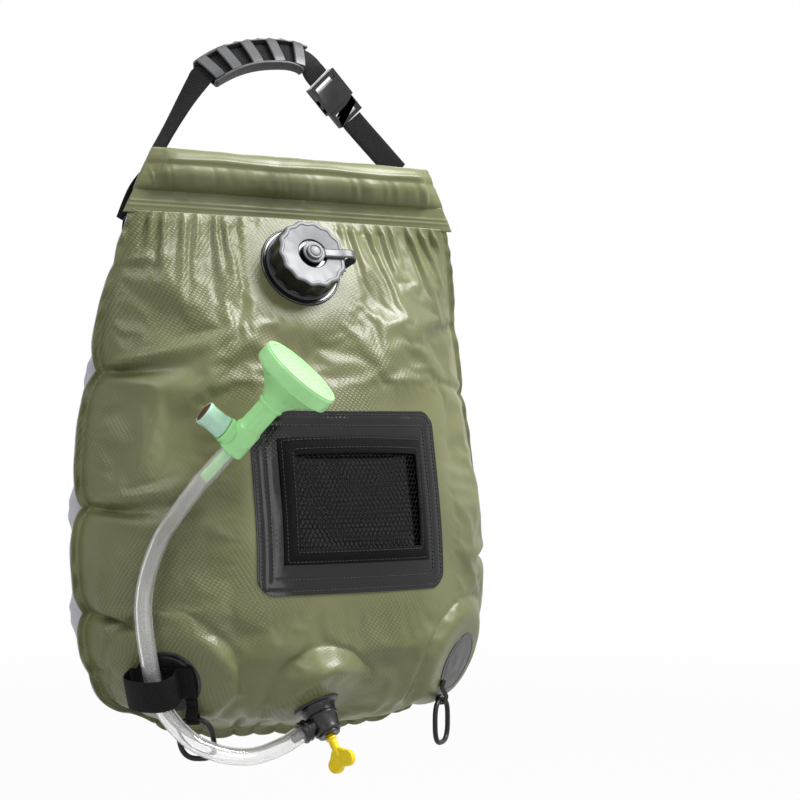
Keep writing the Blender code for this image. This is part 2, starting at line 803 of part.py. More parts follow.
def make_roll():
    place = Matrix.Translation((0, ROLL_Y, ROLL_Z))
    count = 20
    shares = [math.sin(math.pi / 2 * (2 * i / ROLL_STATIONS - 1)) for i in range(ROLL_STATIONS + 1)]

    def ring(share, inset):
        points = []
        for i in range(count):
            angle = 2 * math.pi * i / count
            z = ROLL_Z + (ROLL_HEIGHT / 2 - inset) * math.sin(angle)
            y = ROLL_Y + (roll_depth(share) / 2 - inset) * math.cos(angle)
            points.append((share * roll_half(z), y, z))
        return points

    sleeve = piece("top_sleeve", swept([ring(share, 0) for share in shares]), place, OLIVE, 0.4, True)
    hollow = swept([ring(share * (1 + OVERRUN / ROLL_HALF_LENGTH), SLEEVE_WALL) for share in shares])
    high = ROLL_Z - ROLL_HEIGHT / 2 + SLEEVE_WALL / 2
    low = BAG_TOP_Z + FILM
    half = BAND_THICKNESS / 2
    band = bmesh.new()
    corners = []
    for y in (ROLL_Y - half, ROLL_Y + half):
        wide = roll_half(low) - BITE
        near = roll_half(high) - BITE
        shape = ((-wide, low), (wide, low), (near, high), (-near, high))
        corners.append([band.verts.new((x, y, z)) for x, z in shape])
    front, back = corners
    band.faces.new(front)
    band.faces.new(back[::-1])
    for i in range(4):
        j = (i + 1) % 4
        band.faces.new((front[j], front[i], back[i], back[j]))
    combine(sleeve, tool("band_strip", band, place, True), "UNION")
    combine(sleeve, tool("sleeve_hollow", hollow, place, True), "DIFFERENCE")

    z = ROLL_Z - ROLL_HEIGHT / 2 + SLEEVE_WALL + GAP + ROD_RADIUS
    inner = ROD_RADIUS - ROD_WALL
    half = ROD_HALF_LENGTH
    profile = [(ROD_RADIUS, -half), (ROD_RADIUS, half), (inner, half), (inner, -half)]
    piece("top_rod", turned(profile, SMALL_ROUND, True), frame((0, ROLL_Y, z), X, Z), PALE_GREY, 0.5)


def buckle_frame():
    run = Vector(BUCKLE_RUN).normalized()
    return frame((BUCKLE_X, 0, BUCKLE_Z), run, (-run.z, 0, run.x))


def upper_strap():
    """The strap from the bag's left end through the grip to the buckle, as twisted gives it."""
    buckle = buckle_frame()
    rows = []
    for (x, z, y), turn in zip(LEFT_STRAP_SHARES + GRIP_SHARES, LEFT_STRAP_TURNS + GRIP_TURNS):
        rows.append((x * LOOP_REACH, y * STRAP_END_Y, z * LOOP_DROP, turn))
    bar_z = FEMALE_TOP - STRAP_THICKNESS / 2 - GAP
    top = buckle @ Vector((0, 0, bar_z))
    near = buckle @ Vector((0, 0, bar_z - STRAP_WIDTH / 3))
    return twisted(rows + [(*near, BUCKLE_TURN), (*top, 0)], STRAP_STEPS)


def make_strap():
    buckle = buckle_frame()
    points, across = upper_strap()
    webbing = ribbon(points, across, STRAP_WIDTH, STRAP_THICKNESS)
    piece("strap_webbing", webbing, Matrix.Translation(points[0]), BLACK, 0.7, True)

    start = buckle @ Vector((0, 0, MALE_END + STRAP_THICKNESS / 2 + GAP))
    end = Vector((LOOP_RIGHT, STRAP_END_Y, -LOOP_DROP))
    near = buckle @ Vector((0, 0, MALE_END + STRAP_WIDTH / 3))
    rows = [(*point, 0) for point in (start, near, near.lerp(end, 0.5), end)]
    points, across = twisted(rows, STRAP_STEPS)
    webbing = ribbon(points, across, STRAP_WIDTH, STRAP_THICKNESS)
    piece("strap_lower", webbing, Matrix.Translation(points[0]), BLACK, 0.7, True)

    for name, head_x, twist, foot_x in (
        ("strap_tail_left", -LOOP_REACH, LEFT_STRAP_TURNS[0], LEFT_TAIL_X),
        ("strap_tail_right", LOOP_RIGHT, 0, RIGHT_TAIL_X),
    ):
        hand = math.copysign(1, foot_x)
        head = Vector((head_x, STRAP_END_Y, -LOOP_DROP))
        run = Vector((foot_x, 0, TAIL_FOOT_Z)) - head
        first = head + run.normalized() * SWING_GAP
        last = tail_end(foot_x)
        middle = first.lerp(last, 0.5)
        middle.y = max(first.y, last.y)
        rows = [(*first, hand * twist), (*middle, hand * twist / 3), (*last, 0)]
        points, across = twisted(rows if hand > 0 else rows[::-1], STRAP_STEPS + 2)
        webbing = ribbon(points, across, STRAP_WIDTH, STRAP_THICKNESS)
        piece(name, webbing, Matrix.Translation(first), BLACK, 0.7, True)


def tail_end(x):
    """Where a strap's sewn end lies over its anchor patch."""
    lift = 2 * CURVED_GAP + ANCHOR_THICKNESS + TAIL_STAND + STRAP_THICKNESS / 2
    return over_panel(x, TAIL_FOOT_Z, "back", lift)


def make_anchors():
    xs = lines(ANCHOR_WIDTH / 2, ANCHOR_RADIUS, 3)
    zs = lines(ANCHOR_HEIGHT / 2, ANCHOR_RADIUS, 3)
    for name, x in (("anchor_left", -ANCHOR_X), ("anchor_right", ANCHOR_X)):
        sheet = fitted(x, ANCHOR_Z, xs, zs, ANCHOR_RADIUS, "back", lambda a, b: 2 * CURVED_GAP)
        place = Matrix.Translation(over_panel(x, ANCHOR_Z, "back", 0))
        thicken(piece(name, sheet, place, BLACK, 0.4, True, False), ANCHOR_THICKNESS)


def make_grip():
    points, across = upper_strap()
    before = len(LEFT_STRAP_SHARES) * STRAP_STEPS
    grip_part = slice(before, before + (len(GRIP_SHARES) - 2) * STRAP_STEPS + 1)
    points = points[grip_part]
    across = across[grip_part]
    lengths = np.cumsum([0] + [(b - a).length for a, b in zip(points, points[1:])])
    total = lengths[-1]
    floor_top = -STRAP_THICKNESS / 2 - GRIP_GAP
    floor = floor_top - GRIP_FLOOR
    half = GRIP_WIDTH / 2
    inner = half - GRIP_WALL

    def at(share):
        """Centre, width direction, outward direction and run at a share of the grip's length."""
        s = share * total
        i = int(np.clip(np.searchsorted(lengths, s) - 1, 0, len(points) - 2))
        t = (s - lengths[i]) / (lengths[i + 1] - lengths[i])
        centre = points[i].lerp(points[i + 1], t)
        low = max(0, i - 1)
        run = (points[min(i + 2, len(points) - 1)] - points[low]).normalized()
        side = across[i].lerp(across[i + 1], t)
        side = (side - run * side.dot(run)).normalized()
        return centre, side, run.cross(side), run

    sections = []
    for k in range(GRIP_STATIONS + 1):
        share = k / GRIP_STATIONS
        centre, side, out, run = at(share)
        groove = GROOVE_DEPTH * (k % 2) if SCALLOP_SHARES[0] < share < SCALLOP_SHARES[1] else 0
        far = half - groove
        hump = (1 - GRIP_END_RISE_SHARE) * math.sin(math.pi * share)
        rise = GRIP_WALL_RISE * (GRIP_END_RISE_SHARE + hump)
        outline = (
            (-half, floor),
            (far, floor),
            (far, rise),
            (inner, rise),
            (inner, floor_top),
            (-inner, floor_top),
            (-inner, rise),
            (-half, rise),
        )
        sections.append([centre + side * w + out * f for w, f in outline])
    grip = piece("grip", swept(sections), Matrix.Translation(points[0]), DARK_GREY, 0.45, True)
    base = STRAP_THICKNESS / 2 + GRIP_GAP
    for k, share in enumerate(BRIDGE_SHARES):
        centre, side, out, run = at(share)
        reach = inner + BITE
        long = BRIDGE_LENGTH / 2
        bar = box((-reach, -long, base), (reach, long, base + BRIDGE_THICKNESS))
        combine(grip, tool(f"bridge_{k}", bar, frame(centre, out, side)), "UNION")


def make_buckle():
    place = buckle_frame()
    half = BUCKLE_WIDTH / 2
    thick = BUCKLE_THICKNESS / 2
    shell = box((-half, -thick, FEMALE_TOP), (half, thick, FEMALE_END))
    female = piece("buckle_female", shell, place, BLACK, 0.4)
    cavity = box(
        (-CAVITY_HALF_WIDTH, -CAVITY_HALF_THICKNESS, CAVITY_TOP),
        (CAVITY_HALF_WIDTH, CAVITY_HALF_THICKNESS, FEMALE_END + OVERRUN),
    )
    combine(female, tool("buckle_cavity", cavity, place), "DIFFERENCE")
    beyond = half + OVERRUN
    window = box(
        (-beyond, -CAVITY_HALF_THICKNESS, WINDOW_TOP),
        (beyond, CAVITY_HALF_THICKNESS, WINDOW_END),
    )
    combine(female, tool("buckle_windows", window, place), "DIFFERENCE")
    slot_half = STRAP_WIDTH / 2 + RUNNING_GAP
    slot_top = FEMALE_TOP + BAR
    deep = thick + OVERRUN
    slot = box((-slot_half, -deep, slot_top), (slot_half, deep, slot_top + WEB_SLOT))
    combine(female, tool("buckle_upper_slot", slot, place), "DIFFERENCE")

    male_thick = MALE_THICKNESS / 2
    block = box((-MALE_HALF_WIDTH, -male_thick, MALE_TOP), (MALE_HALF_WIDTH, male_thick, MALE_END))
    male = piece("buckle_male", block, place, BLACK, 0.4)
    tongue = box(
        (-TONGUE_HALF_WIDTH, -TONGUE_HALF_THICKNESS, TONGUE_TOP),
        (TONGUE_HALF_WIDTH, TONGUE_HALF_THICKNESS, MALE_TOP + BITE),
    )
    combine(male, tool("buckle_tongue", tongue, place), "UNION")
    for k, low in enumerate((MALE_END - BAR - WEB_SLOT, MALE_TOP + BAR)):
        slot = box((-slot_half, -deep, low), (slot_half, deep, low + WEB_SLOT - GAP))
        combine(male, tool(f"buckle_lower_slot_{k}", slot, place), "DIFFERENCE")

    for name, hand in (("prong_left", -1), ("prong_right", 1)):
        root = (PRONG_INNER + PRONG_OUTER) / 2
        pivot = place @ Matrix.Translation((hand * root, 0, PRONG_ROOT))
        outline = (
            (PRONG_INNER, PRONG_ROOT),
            (PRONG_OUTER, PRONG_ROOT),
            (PRONG_OUTER, PRONG_SHOULDER),
            (PRONG_REACH, PRONG_SHOULDER),
            (PRONG_REACH, PRONG_SHOULDER + (PRONG_TIP - PRONG_SHOULDER) * PRONG_CHEEK_SHARE),
            (PRONG_OUTER, PRONG_TIP),
            (PRONG_INNER, PRONG_TIP),
        )
        shape = [(hand * (x - root), z - PRONG_ROOT) for x, z in outline]
        mesh = plate(shape, -PRONG_HALF_THICKNESS, PRONG_HALF_THICKNESS)
        piece(name, stood_up(mesh), pivot, BLACK, 0.4)


# The filler


def fill_frame():
    centre, normal, _, _ = FILL_PAD
    return frame(centre + normal * (FILM + GAP / 2), normal, X)


def make_filler():
    place = fill_frame()
    base = GAP
    flange_top = base + FLANGE_THICKNESS
    thread = []
    for k in range(2):
        z = NECK_HEIGHT - THREAD_PITCH * (2 - k)
        crest = NECK_RADIUS + THREAD_RISE
        thread += [(NECK_RADIUS, z - THREAD_RISE), (crest, z), (NECK_RADIUS, z + THREAD_RISE)]
    flange = [
        (FILL_BORE, base),
        (FILL_FLANGE, base),
        (FILL_FLANGE, flange_top - BITE),
        (FILL_FLANGE - BITE, flange_top),
        (NECK_RADIUS, flange_top),
    ]
    profile = flange + thread + [(NECK_RADIUS, NECK_HEIGHT), (FILL_BORE, NECK_HEIGHT)]
    piece("fill_neck", turned(profile, FINE_ROUND, True), place, BLACK, 0.35)

    low = flange_top + GAP
    high = low + COLLAR_THICKNESS
    bore = NECK_RADIUS + GAP
    ring = turned([(bore, low), (COLLAR_RADIUS, low), (COLLAR_RADIUS, high), (bore, high)], ROUND, True)
    collar = piece("tether_collar", ring, place, BLACK, 0.4)
    half = TETHER_WIDTH / 2
    lug = box((COLLAR_RADIUS - BITE, -half, low), (COLLAR_RADIUS + LUG_LENGTH, half, high))
    combine(collar, tool("tether_lug", lug, place), "UNION")

    count = CAP_LOBES * 6
    deck = CAP_TOP - CAP_DECK

    def lobed(radius, height, share):
        ring = []
        for i in range(count):
            angle = 2 * math.pi * i / count
            dip = CAP_LOBE_DEPTH * share * (0.5 - 0.5 * math.cos(CAP_LOBES * angle)) ** 2
            reach = radius - dip
            ring.append(Vector((reach * math.cos(angle), reach * math.sin(angle), height)))
        return ring

    body = swept([
        lobed(CAP_RADIUS, CAP_BASE, CAP_FOOT_SHARE),
        lobed(CAP_RADIUS, CAP_TOP - 2 * CAP_BEVEL, 1),
        lobed(CAP_RADIUS - CAP_BEVEL / 3, CAP_TOP - CAP_BEVEL / 2, 1),
        lobed(CAP_RADIUS - CAP_BEVEL, CAP_TOP, 1),
    ])
    cap = piece("fill_cap", body, place, BLACK, 0.3)
    cut = CAP_BASE - OVERRUN
    hollow = turned([(0, cut), (CAP_BORE, cut), (CAP_BORE, deck), (0, deck)], FINE_ROUND)
    combine(cap, tool("cap_hollow", hollow, place), "DIFFERENCE")
    stem_top = CAP_TOP + TETHER_THICKNESS + 2 * GAP
    head_top = stem_top + HUB_HEAD_THICKNESS
    profile = [
        (0, CAP_TOP - BITE),
        (HUB_STEM, CAP_TOP - BITE),
        (HUB_STEM, stem_top),
        (HUB_HEAD, stem_top),
        (HUB_HEAD, head_top - BITE),
        (HUB_HEAD - BITE, head_top),
        (0, head_top),
    ]
    hub = turned(profile, SMALL_ROUND)
    combine(cap, tool("cap_hub", hub, place), "UNION")

    low = NECK_HEIGHT + GAP
    high = deck - GAP
    profile = [(FILL_BORE, low), (NECK_RADIUS, low), (NECK_RADIUS, high), (FILL_BORE, high)]
    piece("cap_gasket", turned(profile, ROUND, True), place, DARK_GREY, 0.8)

    low = CAP_TOP + GAP
    high = low + TETHER_THICKNESS
    eye = HUB_STEM + GAP
    ring = turned([(eye, low), (TETHER_EYE, low), (TETHER_EYE, high), (eye, high)], SMALL_ROUND, True)
    tether = piece("cap_tether", ring, place, DARK_GREY, 0.4)
    foot_z = flange_top + 2 * GAP + COLLAR_THICKNESS + TETHER_THICKNESS / 2
    mid = (low + high) / 2
    bend = TETHER_REACH - CAP_RADIUS
    path = [(TETHER_EYE - BITE, mid), (CAP_RADIUS * TETHER_FLAT_SHARE, mid), (CAP_RADIUS, mid + BITE)]
    path += [(TETHER_REACH + bend * out, mid - BITE - bend * down) for out, down in TETHER_BEND_SHARES]
    path += [
        (TETHER_REACH - BITE, (mid + foot_z) / 2),
        (TETHER_FOOT + bend / 4, foot_z + bend / 4),
        (TETHER_FOOT, foot_z),
    ]
    points = [Vector((row[0], 0, row[1])) for row in through(path, 2)]
    strip = ribbon(points, [Y] * len(points), TETHER_WIDTH, TETHER_THICKNESS)
    combine(tether, tool("tether_strip", strip, place), "UNION")


# The lower corners


def corner_frame(where):
    """The frame of a lower corner's fittings: X along the hose strap, or its mirror image."""
    centre, normal, _, _ = where
    x, y, z = HOSE_STRAP_RUN
    run = (x, y, z) if where is LEFT_PAD else (x, -y, -z)
    return frame(centre + normal * FILM, normal, run)


def hose_height():
    """How far the hose's middle stands off the panel where the strap holds it."""
    return GAP + CORNER_PATCH_THICKNESS + GAP + HOSE_STRAP_THICKNESS + GAP + HOSE_RADIUS


def make_corners():
    patch_top = GAP + CORNER_PATCH_THICKNESS
    for name, where in (("hose_patch", LEFT_PAD), ("corner_patch", RIGHT_PAD)):
        place = corner_frame(where)
        profile = [
            (0, GAP),
            (CORNER_PATCH_RADIUS, GAP),
            (CORNER_PATCH_RADIUS, patch_top - GAP),
            (CORNER_PATCH_RADIUS - GAP, patch_top),
            (0, patch_top),
        ]
        piece(name, turned(profile), place, BLACK, 0.3)

    place = corner_frame(LEFT_PAD)
    half = HOSE_STRAP_WIDTH / 2
    base_low = patch_top + GAP
    base_top = base_low + HOSE_STRAP_THICKNESS
    base = box((HOSE_STRAP_FOLD, -half, base_low), (HOSE_STRAP_RIGHT, half, base_top))
    piece("hose_strap_base", base, place, BLACK, 0.7)

    thick = HOSE_STRAP_THICKNESS
    over = hose_height() + HOSE_RADIUS + FLAP_STAND + thick / 2
    low = base_top + GAP + thick / 2
    rise = over - low
    left = HOSE_PLACE - HOSE_RADIUS
    right = HOSE_PLACE + HOSE_RADIUS + HOSE_SLANT + thick
    first, second, third = [low + rise * share for share in FLAP_RISE_SHARES]
    path = [
        (HOSE_STRAP_FOLD + thick / 2, low),
        (HOSE_STRAP_FOLD - thick / 2, first),
        (HOSE_STRAP_FOLD + thick, second),
        (left, over),
        (right - HOSE_SLANT, over),
        (right, third),
        (right + thick, low + thick),
        (right + 3 * thick, low),
        (HOSE_STRAP_RIGHT, low),
    ]
    points = [Vector((row[0], 0, row[1])) for row in through(path, 3)]
    pivot = place @ Matrix.Translation((HOSE_STRAP_FOLD, 0, base_top))
    shift = Vector((HOSE_STRAP_FOLD, 0, base_top))
    flap = ribbon([point - shift for point in points], [Y] * len(points), HOSE_STRAP_WIDTH, thick)
    piece("hose_strap_flap", flap, pivot, BLACK, 0.7)

    for hand, where in (("left", LEFT_PAD), ("right", RIGHT_PAD)):
        place = corner_frame(where)
        side = 1 if hand == "left" else -1
        wrap = RING_ROD + 3 * GAP + TAB_THICKNESS / 2
        start = patch_top + GAP + TAB_THICKNESS / 2
        middle = TAB_TOP * TAB_MIDDLE_SHARE - RING_DROP * (1 - TAB_MIDDLE_SHARE)
        path = [(TAB_TOP, start), (middle, start + GAP)]
        path += [(wrap * y - RING_DROP, wrap * z + RING_STAND) for y, z in TAB_WRAP_SHARES]
        points = [Vector((side * TAB_X, row[0], row[1])) for row in path]
        tab = ribbon(points, [X] * len(points), TAB_WIDTH, TAB_THICKNESS)
        piece(f"ring_tab_{hand}", tab, place, BLACK, 0.6)
        pivot = place @ Vector((side * TAB_X, -RING_DROP, RING_STAND))
        up = place.to_3x3() @ Y if hand == "left" else Z
        make_ring(f"tie_ring_{hand}", frame(pivot, up, place.to_3x3() @ X))


def make_ring(name, place):
    """A tie ring under its tab: the left one is held against the bag by the hose in front of it."""
    curve = bpy.data.curves.new(name, "CURVE")
    curve.dimensions = "3D"
    curve.bevel_depth = RING_ROD
    curve.bevel_resolution = 1
    curve.use_fill_caps = True
    spline = curve.splines.new("POLY")
    spline.points.add(RING_STEPS - 1)
    spline.use_cyclic_u = True
    for i, point in enumerate(spline.points):
        angle = 2 * math.pi * i / RING_STEPS
        across = math.copysign(abs(math.sin(angle)) ** RING_SQUARE_SHARE, math.sin(angle))
        up = math.copysign(abs(math.cos(angle)) ** RING_SQUARE_SHARE, math.cos(angle))
        x = RING_HALF_WIDTH * across
        z = RING_HALF_HEIGHT * (up - 1)
        point.co = (x, 0, z, 1)
    ring = bpy.data.objects.new(name, curve)
    ring.matrix_world = place
    curve.materials.append(finish_of(name + "_finish", BLACK, 0.4))
    bpy.context.scene.collection.objects.link(ring)


# The outlet and its tap


def outlet_frame():
    centre, normal, _, _ = OUTLET_PAD
    return frame(centre + normal * FILM, normal, NIPPLE_DIRECTION)


def nipple_frame():
    start = outlet_frame() @ Vector((0, 0, NIPPLE_START))
    return frame(start, NIPPLE_DIRECTION, X)


def make_outlet():
    place = outlet_frame()
    flange_top = GAP + OUTLET_FLANGE_THICKNESS
    cone = turned([
        (0, GAP),
        (OUTLET_FLANGE, GAP),
        (OUTLET_FLANGE, flange_top),
        (CONE_BASE, flange_top + BITE),
        (CONE_TIP, CONE_END - BITE),
        (CONE_TIP - BITE, CONE_END),
        (0, CONE_END),
    ])
    body = piece("outlet_body", cone, place, BLACK, 0.35)
    nipple = nipple_frame()
    stub_end = NIPPLE_LENGTH
    barb_end = stub_end + TAP_BARB_LENGTH
    inner = PLUG_BORE + BITE
    profile = [
        (0, inner),
        (HOSE_RADIUS, inner),
        (HOSE_RADIUS, stub_end),
        (BARB_RADIUS, stub_end),
        (BARB_RADIUS, barb_end),
        (0, barb_end),
    ]
    combine(body, tool("outlet_nipple", turned(profile, SMALL_ROUND), nipple), "UNION")
    port = bar_of(BARB_BORE, 0, barb_end + OVERRUN, SMALL_ROUND)
    combine(body, tool("outlet_port", port, nipple), "DIFFERENCE")
    bore = bar_of(PLUG_BORE, -OVERRUN, CONE_END + OVERRUN, ROUND)
    combine(body, tool("outlet_bore", bore, place), "DIFFERENCE")

    plug_radius = PLUG_BORE - RUNNING_GAP
    groove = plug_radius - PLUG_GROOVE
    top = CONE_END + PLUG_SHOULDER
    seal_z = CONE_END - 2 * PLUG_GROOVE
    socket = KEY_SHAFT + GAP
    profile = [
        (0, PLUG_START),
        (plug_radius, PLUG_START),
        (plug_radius, seal_z - PLUG_GROOVE),
        (groove, seal_z - PLUG_GROOVE),
        (groove, seal_z + PLUG_GROOVE),
        (plug_radius, seal_z + PLUG_GROOVE),
        (plug_radius, CONE_END + GAP),
        (CONE_TIP - BITE, CONE_END + GAP),
        (CONE_TIP - 2 * BITE, top),
        (socket, top),
        (socket, top - KEY_SOCKET),
        (0, top - KEY_SOCKET),
    ]
    piece("tap_plug", turned(profile, SMALL_ROUND), place, DARK_GREY, 0.4)
    seal = tube_of(groove + GAP, plug_radius, seal_z - SEAL_ROD, seal_z + SEAL_ROD, SMALL_ROUND)
    piece("tap_seal", seal, place, BLACK, 0.8)

    centre, normal, _, _ = OUTLET_PAD
    key_place = frame(centre + normal * FILM, normal, KEY_BLADE_AXIS)
    start = top - KEY_SOCKET + GAP
    neck = top + KEY_LENGTH - 2 * KEY_LOBE - KEY_NECK
    shaft = bar_of(KEY_SHAFT, start, neck + KEY_LOBE, SMALL_ROUND)
    key = piece("tap_key", shaft, key_place, YELLOW, 0.45)
    lobe_z = top + KEY_LENGTH - KEY_LOBE
    outline = []
    for hand in (1, -1):
        arc = []
        for k in range(KEY_ARC_STEPS):
            angle = math.radians(KEY_ARC_START + KEY_ARC_STEP * k)
            out = KEY_LOBE_SPREAD + KEY_LOBE * math.cos(angle)
            arc.append((hand * out, lobe_z + KEY_LOBE * math.sin(angle)))
        outline += arc if hand > 0 else arc[::-1]
    outline = [(KEY_SHAFT + BITE, neck)] + outline + [(-KEY_SHAFT - BITE, neck)]
    blade = plate(outline, -KEY_THICKNESS / 2, KEY_THICKNESS / 2)
    combine(key, tool("key_blade", stood_up(blade), key_place), "UNION")

    low = stub_end - HOSE_COLLAR_LENGTH * HOSE_COLLAR_LAP_SHARE
    high = low + HOSE_COLLAR_LENGTH
    collar = tube_of(HOSE_RADIUS + GAP, HOSE_COLLAR_RADIUS, low, high, SMALL_ROUND)
    piece("hose_collar", collar, nipple, BLACK, 0.4)
    cuff = tube_of(HOSE_BORE, HOSE_RADIUS, stub_end + GAP, barb_end, SMALL_ROUND)
    piece("hose_tap_end", cuff, nipple, MILKY, 0.2)


# The shower head


def head_frame():
    return frame((HEAD_X, HEAD_Y, HEAD_Z), HEAD_AXIS, KNOB_AXIS)


def head_profile():
    """The closed outline of the handle, its barb and its trumpet, outside and then inside."""
    cone_end = CONE_START + CONE_LENGTH
    mouth = RIM_RADIUS - RIM_WALL - GAP
    flare = mouth - HANDLE_RADIUS
    barb_end = -TEE_BACK - BARB_LENGTH
    pitch = BARB_LENGTH / BARB_RINGS
    outer = [(BARB_BORE, barb_end)]
    for k in range(BARB_RINGS):
        low = barb_end + k * pitch
        outer += [(BARB_RADIUS - BARB_RING_RISE, low), (BARB_RADIUS, low + pitch * BARB_CREST_SHARE)]
    outer += [
        (BARB_RADIUS - BARB_RING_RISE, -TEE_BACK),
        (TEE_RADIUS - HEAD_WALL, -TEE_BACK),
        (TEE_RADIUS, HEAD_WALL - TEE_BACK),
        (TEE_RADIUS, NECK_START - HEAD_WALL),
        (HANDLE_RADIUS, NECK_START + HEAD_WALL),
        (HANDLE_RADIUS, CONE_START - HEAD_WALL),
        (HANDLE_RADIUS + BEAD_RISE, CONE_START),
        (HANDLE_RADIUS + HEAD_WALL, CONE_START + CONE_LENGTH * TRUMPET_ROOT_SHARE),
    ]
    outer += [
        (HANDLE_RADIUS + flare * out, CONE_START + CONE_LENGTH * up) for out, up in TRUMPET_SHARES
    ]
    last = RIM_START + RIM_LENGTH - RIM_LIP - FACE_THICKNESS - 2 * GAP
    out, up = TRUMPET_BORE_SHARES
    inner = [
        (mouth, cone_end),
        (mouth, last),
        (mouth - HEAD_WALL, last),
        (mouth - HEAD_WALL, cone_end + HEAD_WALL / 2),
        (HANDLE_RADIUS + flare * out - HEAD_WALL, CONE_START + CONE_LENGTH * up),
        (HEAD_BORE + HEAD_WALL, CONE_START + CONE_LENGTH * TRUMPET_THROAT_SHARE),
        (HEAD_BORE, CONE_START + HEAD_WALL),
        (HEAD_BORE, HEAD_WALL - TEE_BACK),
        (BARB_BORE, -TEE_BACK),
    ]
    return outer + inner


def make_head():
    place = head_frame()
    across = frame((HEAD_X, HEAD_Y, HEAD_Z), KNOB_AXIS, HEAD_AXIS)
    body = piece("head_body", turned(head_profile(), ROUND, True), place, MINT, 0.35)
    chamfer = HEAD_WALL / 4
    boss = turned([
        (0, 0),
        (BOSS_RADIUS - HEAD_WALL, 0),
        (BOSS_RADIUS, HEAD_WALL),
        (BOSS_RADIUS, BOSS_LENGTH - chamfer),
        (BOSS_RADIUS - chamfer, BOSS_LENGTH),
        (0, BOSS_LENGTH),
    ])
    combine(body, tool("head_boss", boss, across), "UNION")
    bore = bar_of(SPOOL_BORE, SPOOL_DEPTH, BOSS_LENGTH + OVERRUN, ROUND)
    combine(body, tool("head_spool_bore", bore, across), "DIFFERENCE")

    rim_end = RIM_START + RIM_LENGTH
    bore = RIM_RADIUS - RIM_WALL
    lip = rim_end - RIM_LIP
    profile = [
        (bore, RIM_START),
        (RIM_RADIUS - BITE, RIM_START),
        (RIM_RADIUS, RIM_START + BITE),
        (RIM_RADIUS, rim_end - BITE),
        (RIM_RADIUS - BITE, rim_end),
        (bore - HEAD_WALL, rim_end),
        (bore - HEAD_WALL, lip),
        (bore, lip),
    ]
    piece("head_rim", turned(profile, FINE_ROUND, True), place, MINT, 0.35)
    face_top = lip - GAP
    face_low = face_top - FACE_THICKNESS
    edge = bore - GAP
    crown_edge = bore - HEAD_WALL - GAP
    step = face_top + RIM_LIP
    face = turned([
        (0, face_low),
        (edge, face_low),
        (edge, face_top),
        (crown_edge, face_top),
        (crown_edge, step),
        (crown_edge * FACE_CROWN_SHARE, step + FACE_CROWN * FACE_CROWN_SHARE),
        (0, step + FACE_CROWN),
    ])
    piece("head_face", face, place, MINT, 0.35)
    cuff = tube_of(HOSE_BORE, HOSE_RADIUS, -TEE_BACK - BARB_LENGTH, -TEE_BACK - GAP, SMALL_ROUND)
    piece("hose_head_end", cuff, place, MILKY, 0.2)
    make_valve(across)


def make_valve(place):
    """The push valve: a knob with a spool on it, two seals and the coloured disc."""
    spool = SPOOL_BORE - RUNNING_GAP
    knob_start = BOSS_LENGTH + RUNNING_GAP
    groove = spool - PLUG_GROOVE
    rings = (HEAD_BORE / 2, BOSS_LENGTH - KNOB_TRAVEL - 2 * PLUG_GROOVE)
    profile = [(0, SPOOL_DEPTH + SPOOL_END), (spool, SPOOL_DEPTH + SPOOL_END)]
    for z in rings:
        low = z - PLUG_GROOVE
        high = z + PLUG_GROOVE
        profile += [(spool, low), (groove, low), (groove, high), (spool, high)]
    recess = KNOB_END - DISC_RECESS - DISC_THICKNESS
    profile += [
        (spool, knob_start),
        (KNOB_RADIUS - BITE, knob_start),
        (KNOB_RADIUS, knob_start + BITE),
        (KNOB_RADIUS - KNOB_LIP, (knob_start + KNOB_END) / 2),
        (KNOB_RADIUS, KNOB_END - BITE),
        (KNOB_RADIUS - KNOB_LIP, KNOB_END),
        (DISC_RADIUS + GAP, KNOB_END),
        (DISC_RADIUS + GAP, recess),
        (0, recess),
    ]
    piece("valve_knob", turned(profile, SMALL_ROUND), place, PALE_MINT, 0.35)
    low = recess + GAP
    top = low + DISC_THICKNESS
    disc = turned([(0, low), (DISC_RADIUS, low), (DISC_RADIUS, top - GAP), (0, top)], SMALL_ROUND)
    piece("knob_disc", disc, place, DARK_RED, 0.3)
    for k, z in enumerate(rings):
        seal = tube_of(groove + GAP, spool, z - SEAL_ROD, z + SEAL_ROD, SMALL_ROUND)
        piece(f"spool_seal_{k + 1}", seal, place, BLACK, 0.8)


